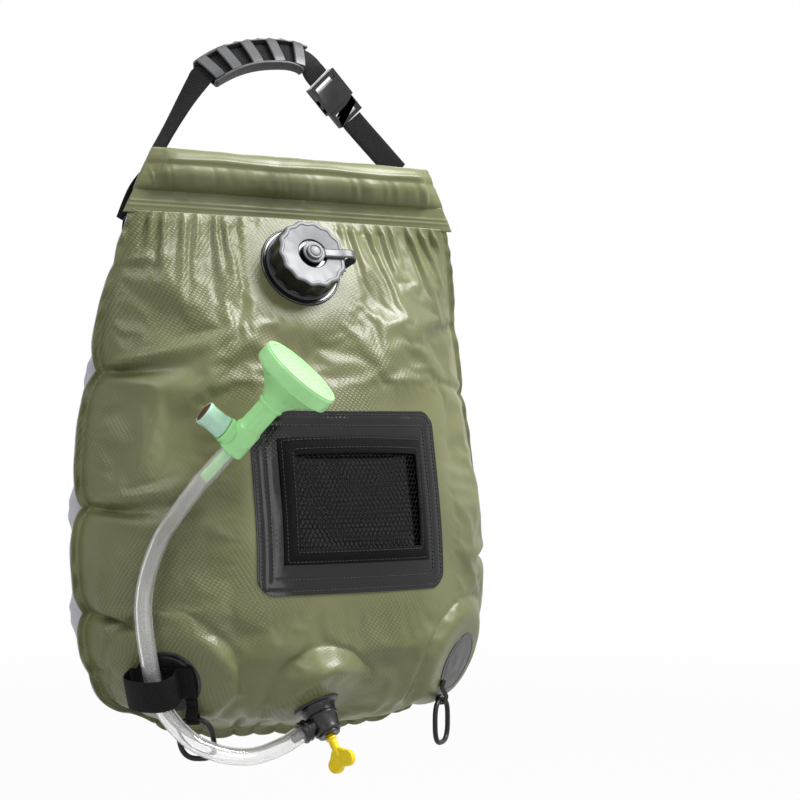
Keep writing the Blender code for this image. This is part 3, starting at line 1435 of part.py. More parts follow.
def make_hose():
    """The free tube between the two barbs, with points two diameters apart along its route."""
    head = head_frame()
    nipple = nipple_frame()
    low = NIPPLE_LENGTH + TAP_BARB_LENGTH + GAP
    high = -TEE_BACK - BARB_LENGTH - GAP
    start = nipple @ Vector((0, 0, low))
    leave = nipple @ Vector((0, 0, low + HOSE_RADIUS))
    arrive = head @ Vector((0, 0, high - HOSE_RADIUS))
    end = head @ Vector((0, 0, high))
    sideways = BAG_HALF_WIDTH / ROUTE_HALF_WIDTH
    route = [(x * sideways, y, z) for x, y, z in HOSE_ROUTE]
    fine = through([start, leave] + route + [arrive, end], 12)
    reach = np.append(0, np.cumsum(np.linalg.norm(np.diff(fine, axis=0), axis=1)))
    count = round(reach[-1] / (4 * HOSE_RADIUS))
    places = np.linspace(0, reach[-1], count + 1)
    places = np.insert(places, [1, count], [HOSE_RADIUS, reach[-1] - HOSE_RADIUS])
    points = [Vector([np.interp(place, reach, fine[:, axis]) for axis in range(3)]) for place in places]
    curve = bpy.data.curves.new("hose", "CURVE")
    curve.dimensions = "3D"
    curve.bevel_depth = HOSE_RADIUS
    curve.bevel_resolution = 2
    curve.use_fill_caps = True
    spline = curve.splines.new("POLY")
    spline.points.add(len(points) - 1)
    for slot, point in zip(spline.points, points):
        slot.co = (*(point - start), 1)
    hose = bpy.data.objects.new("hose", curve)
    hose.matrix_world = Matrix.Translation(start)
    curve.materials.append(finish_of("hose_finish", MILKY, 0.15))
    bpy.context.scene.collection.objects.link(hose)


clear_scene()
make_panels()
make_pocket()
make_roll()
make_strap()
make_anchors()
make_grip()
make_buckle()
make_filler()
make_corners()
make_outlet()
make_head()
make_hose()
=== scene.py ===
"""Looks of the camp shower bag: inflated film, webbing, mouldings and the clear hose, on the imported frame.

It is laid out as a Blender add-on and run as a script. Each operator makes one piece or a group of like pieces.
"""

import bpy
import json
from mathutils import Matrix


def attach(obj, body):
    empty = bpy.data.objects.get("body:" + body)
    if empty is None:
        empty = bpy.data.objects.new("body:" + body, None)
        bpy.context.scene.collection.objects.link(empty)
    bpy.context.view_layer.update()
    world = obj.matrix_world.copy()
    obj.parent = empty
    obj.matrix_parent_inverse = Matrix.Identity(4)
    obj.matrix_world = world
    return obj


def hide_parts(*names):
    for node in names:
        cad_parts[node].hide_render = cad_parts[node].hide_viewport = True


bl_info = {
    "name": "Camp shower bag",
    "version": (1, 0, 0),
    "blender": (4, 5, 0),
    "location": "View3D > Sidebar > Shower bag",
    "description": "Builds the film bag with its strap, fittings, hose and shower head",
    "category": "Object",
}

import json
import math

import bmesh
import bpy
import numpy as np
from bpy.props import FloatProperty, FloatVectorProperty, PointerProperty
from mathutils import Matrix, Vector

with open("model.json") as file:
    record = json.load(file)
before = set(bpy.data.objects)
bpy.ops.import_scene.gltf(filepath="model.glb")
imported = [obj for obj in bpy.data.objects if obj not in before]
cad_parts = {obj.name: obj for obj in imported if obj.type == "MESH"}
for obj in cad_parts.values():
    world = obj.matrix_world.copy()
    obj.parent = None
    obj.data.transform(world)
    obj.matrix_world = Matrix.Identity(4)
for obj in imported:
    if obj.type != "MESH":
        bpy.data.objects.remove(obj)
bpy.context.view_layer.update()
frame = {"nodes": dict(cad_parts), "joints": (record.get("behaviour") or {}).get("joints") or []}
JOINTS = {joint["name"]: joint for joint in frame["joints"]}
X = Vector((1, 0, 0))
Y = Vector((0, 1, 0))
Z = Vector((0, 0, 1))

# The camera that matches the photograph
CAMERA_PLACE = (-0.6474, -1.3008, -0.2904)
CAMERA_TURN = (math.radians(91), 0, math.radians(-30))
CAMERA_LENS = 83.66

# Surface of the film bag, as the frame has it
BAG_TOP_Z = -0.1263
BAG_HEIGHT = 0.3937
BAG_HALF_WIDTH = 0.1705
FRONT_DEPTH = 0.095
BACK_DEPTH = 0.080
SEAM_TOP_Y = -0.017
SEAM_Y = 0.010
SWAY = 0.009
CORNER_RISE = 0.016
FILM = 0.0012
FILM_WALL = 0.0006
FLANGE_REACHES = (0.0012, 0.0026, 0.0045, 0.0062)
CLOTH_STEPS = 16

# Angles in degrees over which an edge is rounded, and over which a moulding's edge is shaded sharp
EDGE_ANGLE = 35
MOULDED_ANGLE = 25

# How far the gloss of a moulding strays from its roughness
GLOSS_SPREAD = 0.05
HEIGHT_SHARES = (0, 0.06, 0.11, 0.23, 0.45, 0.66, 0.77, 0.87, 0.95, 1)
FRONT_SHARES = (0, 0.16, 0.32, 0.61, 0.86, 0.99, 1, 0.91, 0.63, 0)
BACK_SHARES = (0, 0.15, 0.30, 0.48, 0.80, 1, 1, 0.85, 0.54, 0)
WIDTH_SHARES = (0.76, 0.80, 0.83, 0.885, 0.965, 1, 1, 0.97, 0.885, 0.66)
SEAM_SHARES = (0, 0.2, 0.4, 0.78, 1, 1, 1, 1, 1, 1)

# Creases that run in from the side seams: side, height share, depth, reach share, lean
NOTCHES = (
    (-1, 0.110, 0.003, 0.16, 0.02), (-1, 0.315, 0.010, 0.34, -0.05), (-1, 0.582, 0.010, 0.30, -0.07),
    (-1, 0.787, 0.010, 0.34, 0.02), (-1, 0.900, 0.004, 0.16, -0.08), (1, 0.200, 0.003, 0.20, 0.10),
    (1, 0.353, 0.004, 0.22, -0.10), (1, 0.681, 0.007, 0.20, 0.06), (1, 0.860, 0.006, 0.16, 0.08),
)
BOTTOM_PLEATS = (-0.80, -0.66, -0.43, -0.28, -0.12, 0.10, 0.32, 0.46, 0.60, 0.80)
TOP_GATHERS = (
    -0.93, -0.86, -0.74, -0.66, -0.55, -0.49, -0.38, -0.27, -0.16, 0.14, 0.26, 0.33, 0.45, 0.55, 0.62, 0.74, 0.83,
    0.92,
)

# The hose from the tap's shoulder to the shower head's shoulder, point for point as the frame's solids have it
HOSE_ROUTE = (
    (-0.0520, -0.0680, -0.5258), (-0.0680, -0.0662, -0.5266), (-0.0855, -0.0622, -0.5230),
    (-0.1020, -0.0568, -0.5145), (-0.1150, -0.0517, -0.5012), (-0.1240, -0.0491, -0.4865),
    (-0.1302, -0.0495, -0.4700), (-0.1355, -0.0532, -0.4515), (-0.1390, -0.0542, -0.4320),
    (-0.1395, -0.0530, -0.4130), (-0.1368, -0.0540, -0.3940), (-0.1318, -0.0566, -0.3760),
    (-0.1245, -0.0606, -0.3590),
)
NIPPLE_PLACE = Vector((-0.002808, -0.058491, -0.494974)) + Vector((0.160377, -0.561321, -0.81191)) * 0.0125
NIPPLE_RUN = Vector((-0.90, -0.05, -0.43)).normalized()
HEAD_PLACE = Vector((-0.0828, -0.0925, -0.2960))
HEAD_RUN = Vector((0.4896, -0.4918, 0.7204)).normalized()
KNOB_RUN = Vector(JOINTS["valve_slide"]["axis"]).normalized()
NIPPLE_LENGTH = 0.0150
TAP_BARB = 0.0140
TEE_BACK = 0.0105
HEAD_BARB = 0.0270
HOSE_RADIUS = 0.0065
HOSE_BORE = 0.0043
# How far the hose's middle point on each barb lies, from NIPPLE_PLACE and from TEE_BACK
MID_TAP_BARB = 0.0215
MID_HEAD_BARB = 0.0140
# Distance between the hose's rings, and their corners
HOSE_STEP = 0.0030
HOSE_SIDES = 32

# The shower head: radii, and reaches along HEAD_RUN or, for the boss and the knob, along KNOB_RUN
TRUMPET_ROOT = 0.0092
CONE_START = 0.0355
CONE_LENGTH = 0.0215
HEAD_WALL = 0.0020
HEAD_BORE = 0.0050
HANDLE_RIBS = 14
HANDLE_RIB_DEPTH = 0.00035
RIM_RADIUS = 0.0312
RIM_WALL = 0.0022
RIM_START = 0.0565
RIM_LENGTH = 0.0125
RIM_LIP = 0.0012
FACE_THICKNESS = 0.0020
FACE_CROWN = 0.0024
# Holes in each ring of the face and the ring's radius, and the pin that cuts one
SPRAY_RINGS = ((1, 0), (6, 0.0042), (12, 0.0084), (18, 0.0126), (24, 0.0168), (30, 0.0210))
SPRAY_HOLE = 0.0007
SPRAY_PIN = 0.0080
BOSS_LENGTH = 0.0134
KNOB_GAP = 0.0004
KNOB_END = 0.0330
KNOB_RECESS = 0.0022


# Numbers and shapes


def linear(code):
    """An sRGB hex value as linear red, green, blue and 1."""
    parts = [int(code[i:i + 2], 16) / 255 for i in (1, 3, 5)]
    return tuple(c / 12.92 if c <= 0.04045 else ((c + 0.055) / 1.055) ** 2.4 for c in parts) + (1.0,)


def even_curve(xs, ys):
    """A function on a cubic through the table that never overshoots it."""
    xs = np.asarray(xs, float)
    ys = np.asarray(ys, float)
    step = np.diff(xs)
    slope = np.diff(ys) / step
    lean = np.zeros_like(ys)
    for i in range(1, len(ys) - 1):
        if slope[i - 1] * slope[i] > 0:
            after = 2 * step[i] + step[i - 1]
            before = step[i] + 2 * step[i - 1]
            lean[i] = (after + before) / (after / slope[i - 1] + before / slope[i])
    lean[0] = slope[0]
    lean[-1] = slope[-1]

    def value(t):
        i = np.clip(np.searchsorted(xs, t) - 1, 0, len(step) - 1)
        r = (t - xs[i]) / step[i]
        start = (1 + 2 * r) * (1 - r) ** 2 * ys[i] + r * (1 - r) ** 2 * step[i] * lean[i]
        return start + r * r * (3 - 2 * r) * ys[i + 1] + r * r * (r - 1) * step[i] * lean[i + 1]

    return value


def through(points, steps):
    """Points on a smooth curve through the given ones."""
    points = np.asarray(points, float)
    ends = np.vstack([2 * points[0] - points[1], points, 2 * points[-1] - points[-2]])
    found = []
    for a, b, c, d in zip(ends, ends[1:], ends[2:], ends[3:]):
        for k in range(steps):
            t = k / steps
            bend = (2 * a - 5 * b + 4 * c - d) * t**2 + (3 * b - a - 3 * c + d) * t**3
            found.append(0.5 * (2 * b + (c - a) * t + bend))
    return np.array(found + [points[-1]])


def spread(points, pitch):
    """The points laid out again at an even pitch along their line."""
    points = np.asarray(points, float)
    reach = np.append(0, np.cumsum(np.linalg.norm(np.diff(points[:, :3], axis=0), axis=1)))
    places = np.linspace(0, reach[-1], max(2, round(reach[-1] / pitch)) + 1)
    return np.column_stack([np.interp(places, reach, points[:, axis]) for axis in range(points.shape[1])])


def axes(place, z_axis, x_hint):
    """The matrix of a frame at a place, with its Z along z_axis and its X near x_hint."""
    z = Vector(z_axis).normalized()
    x = Vector(x_hint)
    x = (x - z * x.dot(z)).normalized()
    return Matrix.Translation(Vector(place)) @ Matrix((x, z.cross(x), z)).transposed().to_4x4()


def rounded_profile(profile, corner):
    """The profile with each of its inner corners rounded by three points."""
    found = [profile[0]]
    for before, here, after in zip(profile, profile[1:], profile[2:]):
        a = Vector(before) - Vector(here)
        b = Vector(after) - Vector(here)
        if a.length < 1e-6 or b.length < 1e-6 or a.angle(b) > math.radians(172):
            found.append(here)
            continue
        near = min(corner, a.length * 0.45, b.length * 0.45)
        start = Vector(here) + a.normalized() * near
        end = Vector(here) + b.normalized() * near
        for t in (0, 0.5, 1):
            middle = start.lerp(Vector(here), t).lerp(Vector(here).lerp(end, t), t)
            found.append(tuple(middle))
    return found + [profile[-1]]


def shell(name, verts, faces, material, smooth=40, place=None):
    """A mesh object from points and faces, shaded smooth up to an angle."""
    mesh = bpy.data.meshes.new(name)
    mesh.from_pydata([tuple(map(float, v)) for v in verts], [], [tuple(map(int, f)) for f in faces])
    mesh.validate()
    if place is not None:
        mesh.transform(place)
    work = bmesh.new()
    work.from_mesh(mesh)
    bmesh.ops.remove_doubles(work, verts=work.verts, dist=1e-7)
    bmesh.ops.recalc_face_normals(work, faces=work.faces)
    work.to_mesh(mesh)
    work.free()
    mesh.shade_smooth()
    mesh.set_sharp_from_angle(angle=math.radians(smooth))
    mesh.materials.append(material)
    piece = bpy.data.objects.new(name, mesh)
    bpy.context.scene.collection.objects.link(piece)
    return piece


def settle(piece, body, slot, *nodes):
    """The piece with its modifiers applied, riding on its body in place of these nodes."""
    if piece.type == "MESH" and len(piece.modifiers):
        bpy.context.view_layer.update()
        seen = piece.evaluated_get(bpy.context.evaluated_depsgraph_get())
        final = bpy.data.meshes.new_from_object(seen)
        piece.modifiers.clear()
        piece.data = final
    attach(piece, body)
    if nodes:
        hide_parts(*nodes)
    return piece


def strip_faces(rows, columns, closed_rows=False, closed_columns=False, offset=0):
    """Faces of a grid of points kept row by row."""
    found = []
    for j in range(rows if closed_rows else rows - 1):
        for i in range(columns if closed_columns else columns - 1):
            k = (j + 1) % rows
            m = (i + 1) % columns
            found.append([offset + n for n in (j * columns + i, j * columns + m, k * columns + m, k * columns + i)])
    return found


def swept(name, sections, material, smooth=40, closed=False):
    """A closed solid through a row of closed sections."""
    rows = len(sections)
    columns = len(sections[0])
    faces = strip_faces(rows, columns, closed, True)
    if not closed:
        faces += [list(range(columns)), [(rows - 1) * columns + i for i in range(columns)]]
    return shell(name, [p for section in sections for p in section], faces, material, smooth)


def turned(name, profile, place, material, steps=96, corner=0.0004, ripple=None, bored=False):
    """A piece turned about the place's Z from (radius, height) points, with an optional ripple of its radius."""
    if corner:
        profile = rounded_profile(list(profile), corner)
    verts = []
    for radius, height in profile:
        for k in range(steps):
            angle = 2 * math.pi * k / steps
            r = radius + (ripple(radius, height, angle) if ripple else 0)
            verts.append((r * math.cos(angle), r * math.sin(angle), height))
    faces = strip_faces(len(profile), steps, bored, True)
    if not bored:
        last = (len(profile) - 1) * steps
        faces += [list(range(steps)), [last + k for k in range(steps)]]
    return shell(name, verts, faces, material, place=place)


def joined(name, pieces):
    """Several meshes as one piece."""
    whole = bmesh.new()
    materials = []
    for piece in pieces:
        for slot in piece.data.materials:
            if slot not in materials:
                materials.append(slot)
    for piece in pieces:
        bpy.context.view_layer.update()
        seen = piece.evaluated_get(bpy.context.evaluated_depsgraph_get())
        data = bpy.data.meshes.new_from_object(seen)
        data.transform(piece.matrix_world)
        for face in data.polygons:
            face.material_index = materials.index(piece.data.materials[face.material_index])
        whole.from_mesh(data)
        bpy.data.meshes.remove(data)
        bpy.data.objects.remove(piece, do_unlink=True)
    mesh = bpy.data.meshes.new(name)
    whole.to_mesh(mesh)
    whole.free()
    for material in materials:
        mesh.materials.append(material)
    result = bpy.data.objects.new(name, mesh)
    bpy.context.scene.collection.objects.link(result)
    return result


def bevel(piece, width, segments=2):
    """Rounds the piece's edges that are sharper than EDGE_ANGLE."""
    modifier = piece.modifiers.new("Rounded edges", "BEVEL")
    modifier.width = width
    modifier.segments = segments
    modifier.limit_method = "ANGLE"
    modifier.angle_limit = math.radians(EDGE_ANGLE)
    modifier.harden_normals = False
    return piece


def moulded_copy(name, node, material, width):
    """A piece with the frame's outline and moulded, rounded edges."""
    mesh = frame["nodes"][node].data.copy()
    mesh.name = name
    mesh.materials.clear()
    mesh.materials.append(material)
    work = bmesh.new()
    work.from_mesh(mesh)
    bmesh.ops.remove_doubles(work, verts=work.verts, dist=1e-6)
    bmesh.ops.dissolve_limit(work, angle_limit=math.radians(1), verts=work.verts, edges=work.edges)
    work.to_mesh(mesh)
    work.free()
    piece = bpy.data.objects.new(name, mesh)
    bpy.context.scene.collection.objects.link(piece)
    bevel(piece, width)
    bpy.context.view_layer.update()
    final = bpy.data.meshes.new_from_object(piece.evaluated_get(bpy.context.evaluated_depsgraph_get()))
    piece.modifiers.clear()
    piece.data = final
    final.shade_smooth()
    final.set_sharp_from_angle(angle=math.radians(MOULDED_ANGLE))
    return piece


def keep_measure(piece, name, values):
    """Stores distances in metres along the material, which its weave follows."""
    layer = piece.data.attributes.new(name, "FLOAT_VECTOR", "POINT")
    layer.data.foreach_set("vector", np.asarray(values, np.float32).ravel())


# The surface of the bag


WIDE = even_curve(HEIGHT_SHARES, WIDTH_SHARES)
SEAM_AT = even_curve(HEIGHT_SHARES, SEAM_SHARES)
DEPTH_AT = {"front": even_curve(HEIGHT_SHARES, FRONT_SHARES), "back": even_curve(HEIGHT_SHARES, BACK_SHARES)}


def outline_at(u, v):
    x = u * BAG_HALF_WIDTH * WIDE(v) + SWAY * v
    return x, BAG_TOP_Z - v * (BAG_HEIGHT - CORNER_RISE * np.abs(u) ** 4)


def seam_y(v):
    return SEAM_TOP_Y + (SEAM_Y - SEAM_TOP_Y) * SEAM_AT(v)


def panel_y(u, v, side):
    crown = np.maximum(0, 1 - np.abs(u) ** 2.8) ** 0.72
    depth = -FRONT_DEPTH if side == "front" else BACK_DEPTH
    return seam_y(v) + depth * DEPTH_AT[side](v) * crown


def share_at(x, z):
    u = np.zeros_like(x)
    v = np.full_like(x, 0.5)
    for _ in range(16):
        v = np.clip((BAG_TOP_Z - z) / (BAG_HEIGHT - CORNER_RISE * np.abs(u) ** 4), 0, 1)
        u = np.clip((x - SWAY * v) / (BAG_HALF_WIDTH * WIDE(v)), -1, 1)
    return u, v


def plain_points(x, z, side):
    u, v = share_at(x, z)
    return np.stack([x, panel_y(u, v, side), z], -1)


def plain_normal(x, z):
    h = 0.002
    a = plain_points(np.array([x + h, x - h, x, x]), np.array([z, z, z + h, z - h]), "front")
    normal = np.cross(a[0] - a[1], a[2] - a[3])
    return normal / np.linalg.norm(normal)


def pad(x, z, flat, fade, normal=None):
    centre = plain_points(np.array([x]), np.array([z]), "front")[0]
    normal = plain_normal(x, z) if normal is None else np.asarray(normal, float)
    return centre, normal / np.linalg.norm(normal), flat, fade


FILL_RUN = Vector(JOINTS["cap_turn"]["axis"])
TAP_RUN = Vector(JOINTS["tap_turn"]["axis"])
FILL_PAD = pad(-0.005, -0.165, 0.042, 0.068, FILL_RUN)
OUTLET_PAD = pad(-0.003, -0.494, 0.027, 0.048, TAP_RUN)
LEFT_PAD = pad(-0.116, -0.4705, 0.034, 0.052)
RIGHT_PAD = pad(0.125, -0.4705, 0.034, 0.052)
PADS = (FILL_PAD, OUTLET_PAD, LEFT_PAD, RIGHT_PAD)


def flattened(points, side):
    """The points moved into the plane of each fitting that they are close to."""
    if side != "front":
        return points
    points = points.copy()
    for centre, normal, flat, fade in PADS:
        away = points - centre
        reach = np.linalg.norm(away - (away @ normal)[..., None] * normal, axis=-1)
        t = np.clip((fade - reach) / (fade - flat), 0, 1)
        share = t * t * (3 - 2 * t)
        level = centre[1] - (away[..., 0] * normal[0] + away[..., 2] * normal[2]) / normal[1]
        points[..., 1] += (level - points[..., 1]) * share
    return points


def panel_points(x, z, side):
    return flattened(plain_points(x, z, side), side)


def over_panel(x, z, side, lift):
    """Points at heights over the panel's outer face, with the normals there."""
    x, z, lift = np.broadcast_arrays(np.asarray(x, float), np.asarray(z, float), np.asarray(lift, float))
    h = 0.002
    across = panel_points(x + h, z, side) - panel_points(x - h, z, side)
    up = panel_points(x, z + h, side) - panel_points(x, z - h, side)
    normal = np.cross(across, up)
    normal /= np.linalg.norm(normal, axis=-1)[..., None]
    if side == "back":
        normal = -normal
    return panel_points(x, z, side) + normal * (FILM + lift)[..., None], normal


def free_film(points):
    """How freely the film may fold at each point: 0 under a fitting and 1 well away from them."""
    share = np.ones(points.shape[:-1])
    for centre, normal, flat, _ in PADS:
        away = points - centre
        reach = np.linalg.norm(away - (away @ normal)[..., None] * normal, axis=-1)
        near = np.clip((reach - flat * 0.96) / 0.020, 0, 1)
        share = np.minimum(share, near * near * (3 - 2 * near))
    dx = np.abs(points[..., 0] - 0.018) - 0.082
    dz = np.abs(points[..., 2] + 0.342) - 0.0695
    reach = np.hypot(np.maximum(dx, 0), np.maximum(dz, 0)) + np.minimum(np.maximum(dx, dz), 0)
    near = np.clip(reach / 0.025, 0, 1)
    return np.minimum(share, near * near * (3 - 2 * near))


# Materials


def add(tree, kind, inputs=None, **settings):
    """A node with its settings and its inputs, each a value or another node's output."""
    made = tree.nodes.new("ShaderNode" + kind)
    for key, value in settings.items():
        setattr(made, key, value)
    for key, value in (inputs or {}).items():
        socket = made.inputs[key]
        if isinstance(value, bpy.types.NodeSocket):
            tree.links.new(value, socket)
        else:
            socket.default_value = value
    return made


def new_material(name, colour, roughness, **sockets):
    """A material with its Principled shader, its node tree and the object's own coordinates."""
    material = bpy.data.materials.new(name)
    material.use_nodes = True
    tree = material.node_tree
    shader = tree.nodes["Principled BSDF"]
    shader.inputs["Base Color"].default_value = colour if not isinstance(colour, str) else linear(colour)
    shader.inputs["Roughness"].default_value = roughness
    for key, value in sockets.items():
        shader.inputs[key.replace("_", " ").title().replace("Ior", "IOR")].default_value = value
    return material, tree, shader


def place_of(tree):
    return add(tree, "TexCoord").outputs["Object"]


def wave(tree, vector, across, pitch):
    """A sine from 0 to 1 along a direction, with its pitch in metres."""
    run = Vector(across).normalized() * (2 * math.pi / pitch)
    along = add(tree, "VectorMath", {0: vector, 1: run}, operation="DOT_PRODUCT").outputs["Value"]
    sine = add(tree, "Math", {0: along}, operation="SINE").outputs[0]
    return add(tree, "Math", {0: sine, 1: 0.5, 2: 0.5}, operation="MULTIPLY_ADD").outputs[0]


def times(tree, a, b):
    return add(tree, "Math", {0: a, 1: b}, operation="MULTIPLY").outputs[0]


def ranged(tree, value, low, high, to_low=0.0, to_high=1.0):
    inputs = {"Value": value, "From Min": low, "From Max": high, "To Min": to_low, "To Max": to_high}
    return add(tree, "MapRange", inputs, clamp=True).outputs["Result"]


def noise(tree, vector, size, detail=2.0, roughness=0.5):
    """Noise whose grain is about this size in metres."""
    inputs = {"Vector": vector, "Scale": 1 / size, "Detail": detail, "Roughness": roughness}
    return add(tree, "TexNoise", inputs).outputs["Fac"]


def seen_rays(tree):
    """1 for the rays that show a background: seen directly, through glass or in gloss."""
    paths = add(tree, "LightPath").outputs
    through_glass = add(
        tree, "Math", {0: paths["Is Camera Ray"], 1: paths["Is Transmission Ray"]}, operation="MAXIMUM"
    ).outputs[0]
    return add(tree, "Math", {0: through_glass, 1: paths["Is Glossy Ray"]}, operation="MAXIMUM").outputs[0]


def mixed(tree, factor, a, b):
    inputs = {"Factor": factor}
    made = add(tree, "Mix", inputs, data_type="RGBA")
    for index, value in ((6, a), (7, b)):
        if isinstance(value, bpy.types.NodeSocket):
            tree.links.new(value, made.inputs[index])
        else:
            made.inputs[index].default_value = linear(value) if isinstance(value, str) else value
    return made.outputs[2]


def bumped(tree, shader, height, distance, below=None):
    inputs = {"Height": height, "Distance": distance, "Strength": 1.0}
    if below is not None:
        inputs["Normal"] = below
    normal = add(tree, "Bump", inputs).outputs["Normal"]
    tree.links.new(normal, shader.inputs["Normal"])
    return normal


MADE = {}


def finish(name):
    """The material of this name, made once."""
    if name not in MADE:
        MADE[name] = FINISHES[name]()
    return MADE[name]


def film_weave(tree, pitch):
    """Embossed weave of the film: short slanting dashes that lean one way or the other, in metres along the film."""
    film = add(tree, "Attribute", attribute_name="film_m").outputs["Vector"]
    sets = []
    for across, along in (((0.87, -0.50, 0), (0.42, 0.91, 0)), ((0.80, 0.60, 0), (-0.55, 0.83, 0))):
        dashes = ranged(tree, wave(tree, film, along, pitch * 0.75), 0.15, 0.75, 0.15, 1.0)
        sets.append(times(tree, wave(tree, film, across, pitch), dashes))
    side = ranged(tree, noise(tree, film, 0.12, 1.0), 0.46, 0.54)
    weave = add(tree, "Mix", {0: side, 2: sets[0], 3: sets[1]}, data_type="FLOAT").outputs[0]
    places = add(tree, "SeparateXYZ", {0: film}).outputs
    # The weave and its painted shade fade towards the bag's right, where the light shows the even embossing less,
    # and almost vanish on the top roll.
    right = ranged(tree, places["X"], 0.03, 0.10, 1.0, 0.30)
    folded = ranged(tree, places["Z"], 0.0, 1.0, 1.0, 0.06)
    return film, times(tree, times(tree, weave, right), folded)


def olive_film():
    """PVC film, calendered and embossed: satin gloss with a fine slanting weave that shows at a low angle, and
    painted shade between the weave's dashes.
    """
    colours = bpy.context.scene.shower_colours
    sizes = bpy.context.scene.shower_sizes
    material, tree, shader = new_material("calendered PVC film, olive", (*colours.film, 1), 0.40)
    film, weave = film_weave(tree, sizes.weave_pitch)
    cloudy = noise(tree, film, 0.060, 3.0, 0.55)
    where = ranged(tree, noise(tree, film, 0.110, 2.0), 0.40, 0.60, 0.12, 1.0)
    height = times(tree, weave, where)
    dark = mixed(tree, ranged(tree, cloudy, 0.3, 0.7), (*colours.film, 1), (*colours.film_dark, 1))
    # Painted shade: the film is darker between the weave's dashes, where the embossing is low.
    shade = ranged(tree, height, 0.0, 0.5, 0.50, 0.0)
    shade = times(tree, shade, where)
    tree.links.new(mixed(tree, shade, dark, (*colours.film_dash_shade, 1)), shader.inputs["Base Color"])
    rough = ranged(tree, cloudy, 0.3, 0.7, 0.36, 0.47)
    tree.links.new(rough, shader.inputs["Roughness"])
    grain = bumped(tree, shader, noise(tree, film, 0.0035, 2.0), 0.00004)
    bumped(tree, shader, height, sizes.weave_relief, grain)
    return material


def grey_shade_film():
    """PVC film, calendered: pale grey, satin, with a faint emboss; the grey is painted shade where the back panel
    shows past the seam's notches.
    """
    material, tree, shader = new_material("calendered PVC film, painted pale grey shade", "#CDCDD6", 0.42)
    film, weave = film_weave(tree, bpy.context.scene.shower_sizes.weave_pitch)
    cloudy = noise(tree, film, 0.070, 3.0)
    tree.links.new(mixed(tree, cloudy, "#D3D3DC", "#BFBFC9"), shader.inputs["Base Color"])
    bumped(tree, shader, weave, 0.00003)
    return material


def black_film():
    """PVC film, press-polished: near black, glossy, with the weave pressed through in places."""
    material, tree, shader = new_material(
        "press-polished PVC film, black", "#0C0C0D", 0.13, specular_ior_level=0.28, coat_weight=0.28,
        coat_roughness=0.05
    )
    place = place_of(tree)
    turned_place = add(tree, "VectorMath", {0: place, 1: (1, 0, 1)}, operation="MULTIPLY").outputs[0]
    ribs = times(
        tree, wave(tree, turned_place, (1, 0, 0.9), 0.0026), wave(tree, turned_place, (1, 0, -0.9), 0.0026)
    )
    where = ranged(tree, noise(tree, place, 0.055, 2.0), 0.50, 0.62)
    tree.links.new(ranged(tree, noise(tree, place, 0.02, 4.0), 0.3, 0.7, 0.09, 0.22), shader.inputs["Roughness"])
    soft = bumped(tree, shader, noise(tree, place, 0.018, 2.0), 0.00045)
    bumped(tree, shader, times(tree, ribs, where), 0.00022, soft)
    return material


def patch_film():
    """PVC patch, welded: black, satin."""
    material, tree, shader = new_material("welded PVC patch, black", "#17181A", 0.30)
    place = place_of(tree)
    tree.links.new(ranged(tree, noise(tree, place, 0.012, 3.0), 0.3, 0.7, 0.24, 0.40), shader.inputs["Roughness"])
    bumped(tree, shader, noise(tree, place, 0.006, 2.0), 0.0002)
    return material


def webbing_black():
    """Polypropylene webbing, woven: fine ribs across the strap, painted darker in their hollows as shade, and a soft
    sheen.
    """
    material, tree, shader = new_material(
        "woven polypropylene webbing, black", "#0E0C0C", 0.62, specular_ior_level=0.14
    )
    web = add(tree, "Attribute", attribute_name="web_m").outputs["Vector"]
    ribs = wave(tree, web, (1, 0.10, 0), 0.0016)
    yarn = wave(tree, web, (0.15, 1, 0), 0.0011)
    height = add(tree, "Math", {0: ribs, 1: 0.7, 2: times(tree, yarn, 0.35)}, operation="MULTIPLY_ADD").outputs[0]
    # Painted shade and light: the webbing is darker where its ribs and yarns are low and lighter on their crests.
    tree.links.new(mixed(tree, ranged(tree, height, 0.1, 0.9), "#080707", "#1B1919"), shader.inputs["Base Color"])
    bumped(tree, shader, height, 0.00035)
    return material


def binding_tape():
    """Polyester tape, woven and folded over an edge: black and matt."""
    material, tree, shader = new_material("woven polyester tape, black", "#0B0B0C", 0.55, specular_ior_level=0.08)
    place = place_of(tree)
    yarn = times(tree, wave(tree, place, (1, 0, 0), 0.0012), wave(tree, place, (0, 0, 1), 0.0012))
    wear = noise(tree, place, 0.010, 3.0)
    tree.links.new(mixed(tree, wear, "#080809", "#151517"), shader.inputs["Base Color"])
    tree.links.new(ranged(tree, wear, 0.3, 0.7, 0.42, 0.62), shader.inputs["Roughness"])
    bumped(tree, shader, yarn, 0.00018)
    return material


def knitted_net():
    """Polyester net, knitted: black strands with a slight gloss."""
    material, tree, shader = new_material("knitted polyester net, black", "#0B0B0C", 0.30, specular_ior_level=0.14)
    bumped(tree, shader, wave(tree, place_of(tree), (1, 0.3, 1), 0.0008), 0.0001)
    return material


def sewing_thread():
    """Polyester thread, twisted: black with a light edge."""
    material, tree, shader = new_material("twisted polyester thread, black", "#0E0E0F", 0.45)
    bumped(tree, shader, wave(tree, place_of(tree), (1, 1, 1), 0.0006), 0.00008)
    return material


def moulding(name, colour, roughness, grain=0.0009, relief=0.00002, **sockets):
    """A moulded plastic: fine mould texture and an uneven gloss."""
    material, tree, shader = new_material(name, colour, roughness, **sockets)
    place = place_of(tree)
    cloudy = noise(tree, place, 0.014, 3.0)
    tree.links.new(
        ranged(tree, cloudy, 0.3, 0.7, roughness - GLOSS_SPREAD, roughness + GLOSS_SPREAD),
        shader.inputs["Roughness"]
    )
    bumped(tree, shader, noise(tree, place, grain, 2.0), relief)
    return material


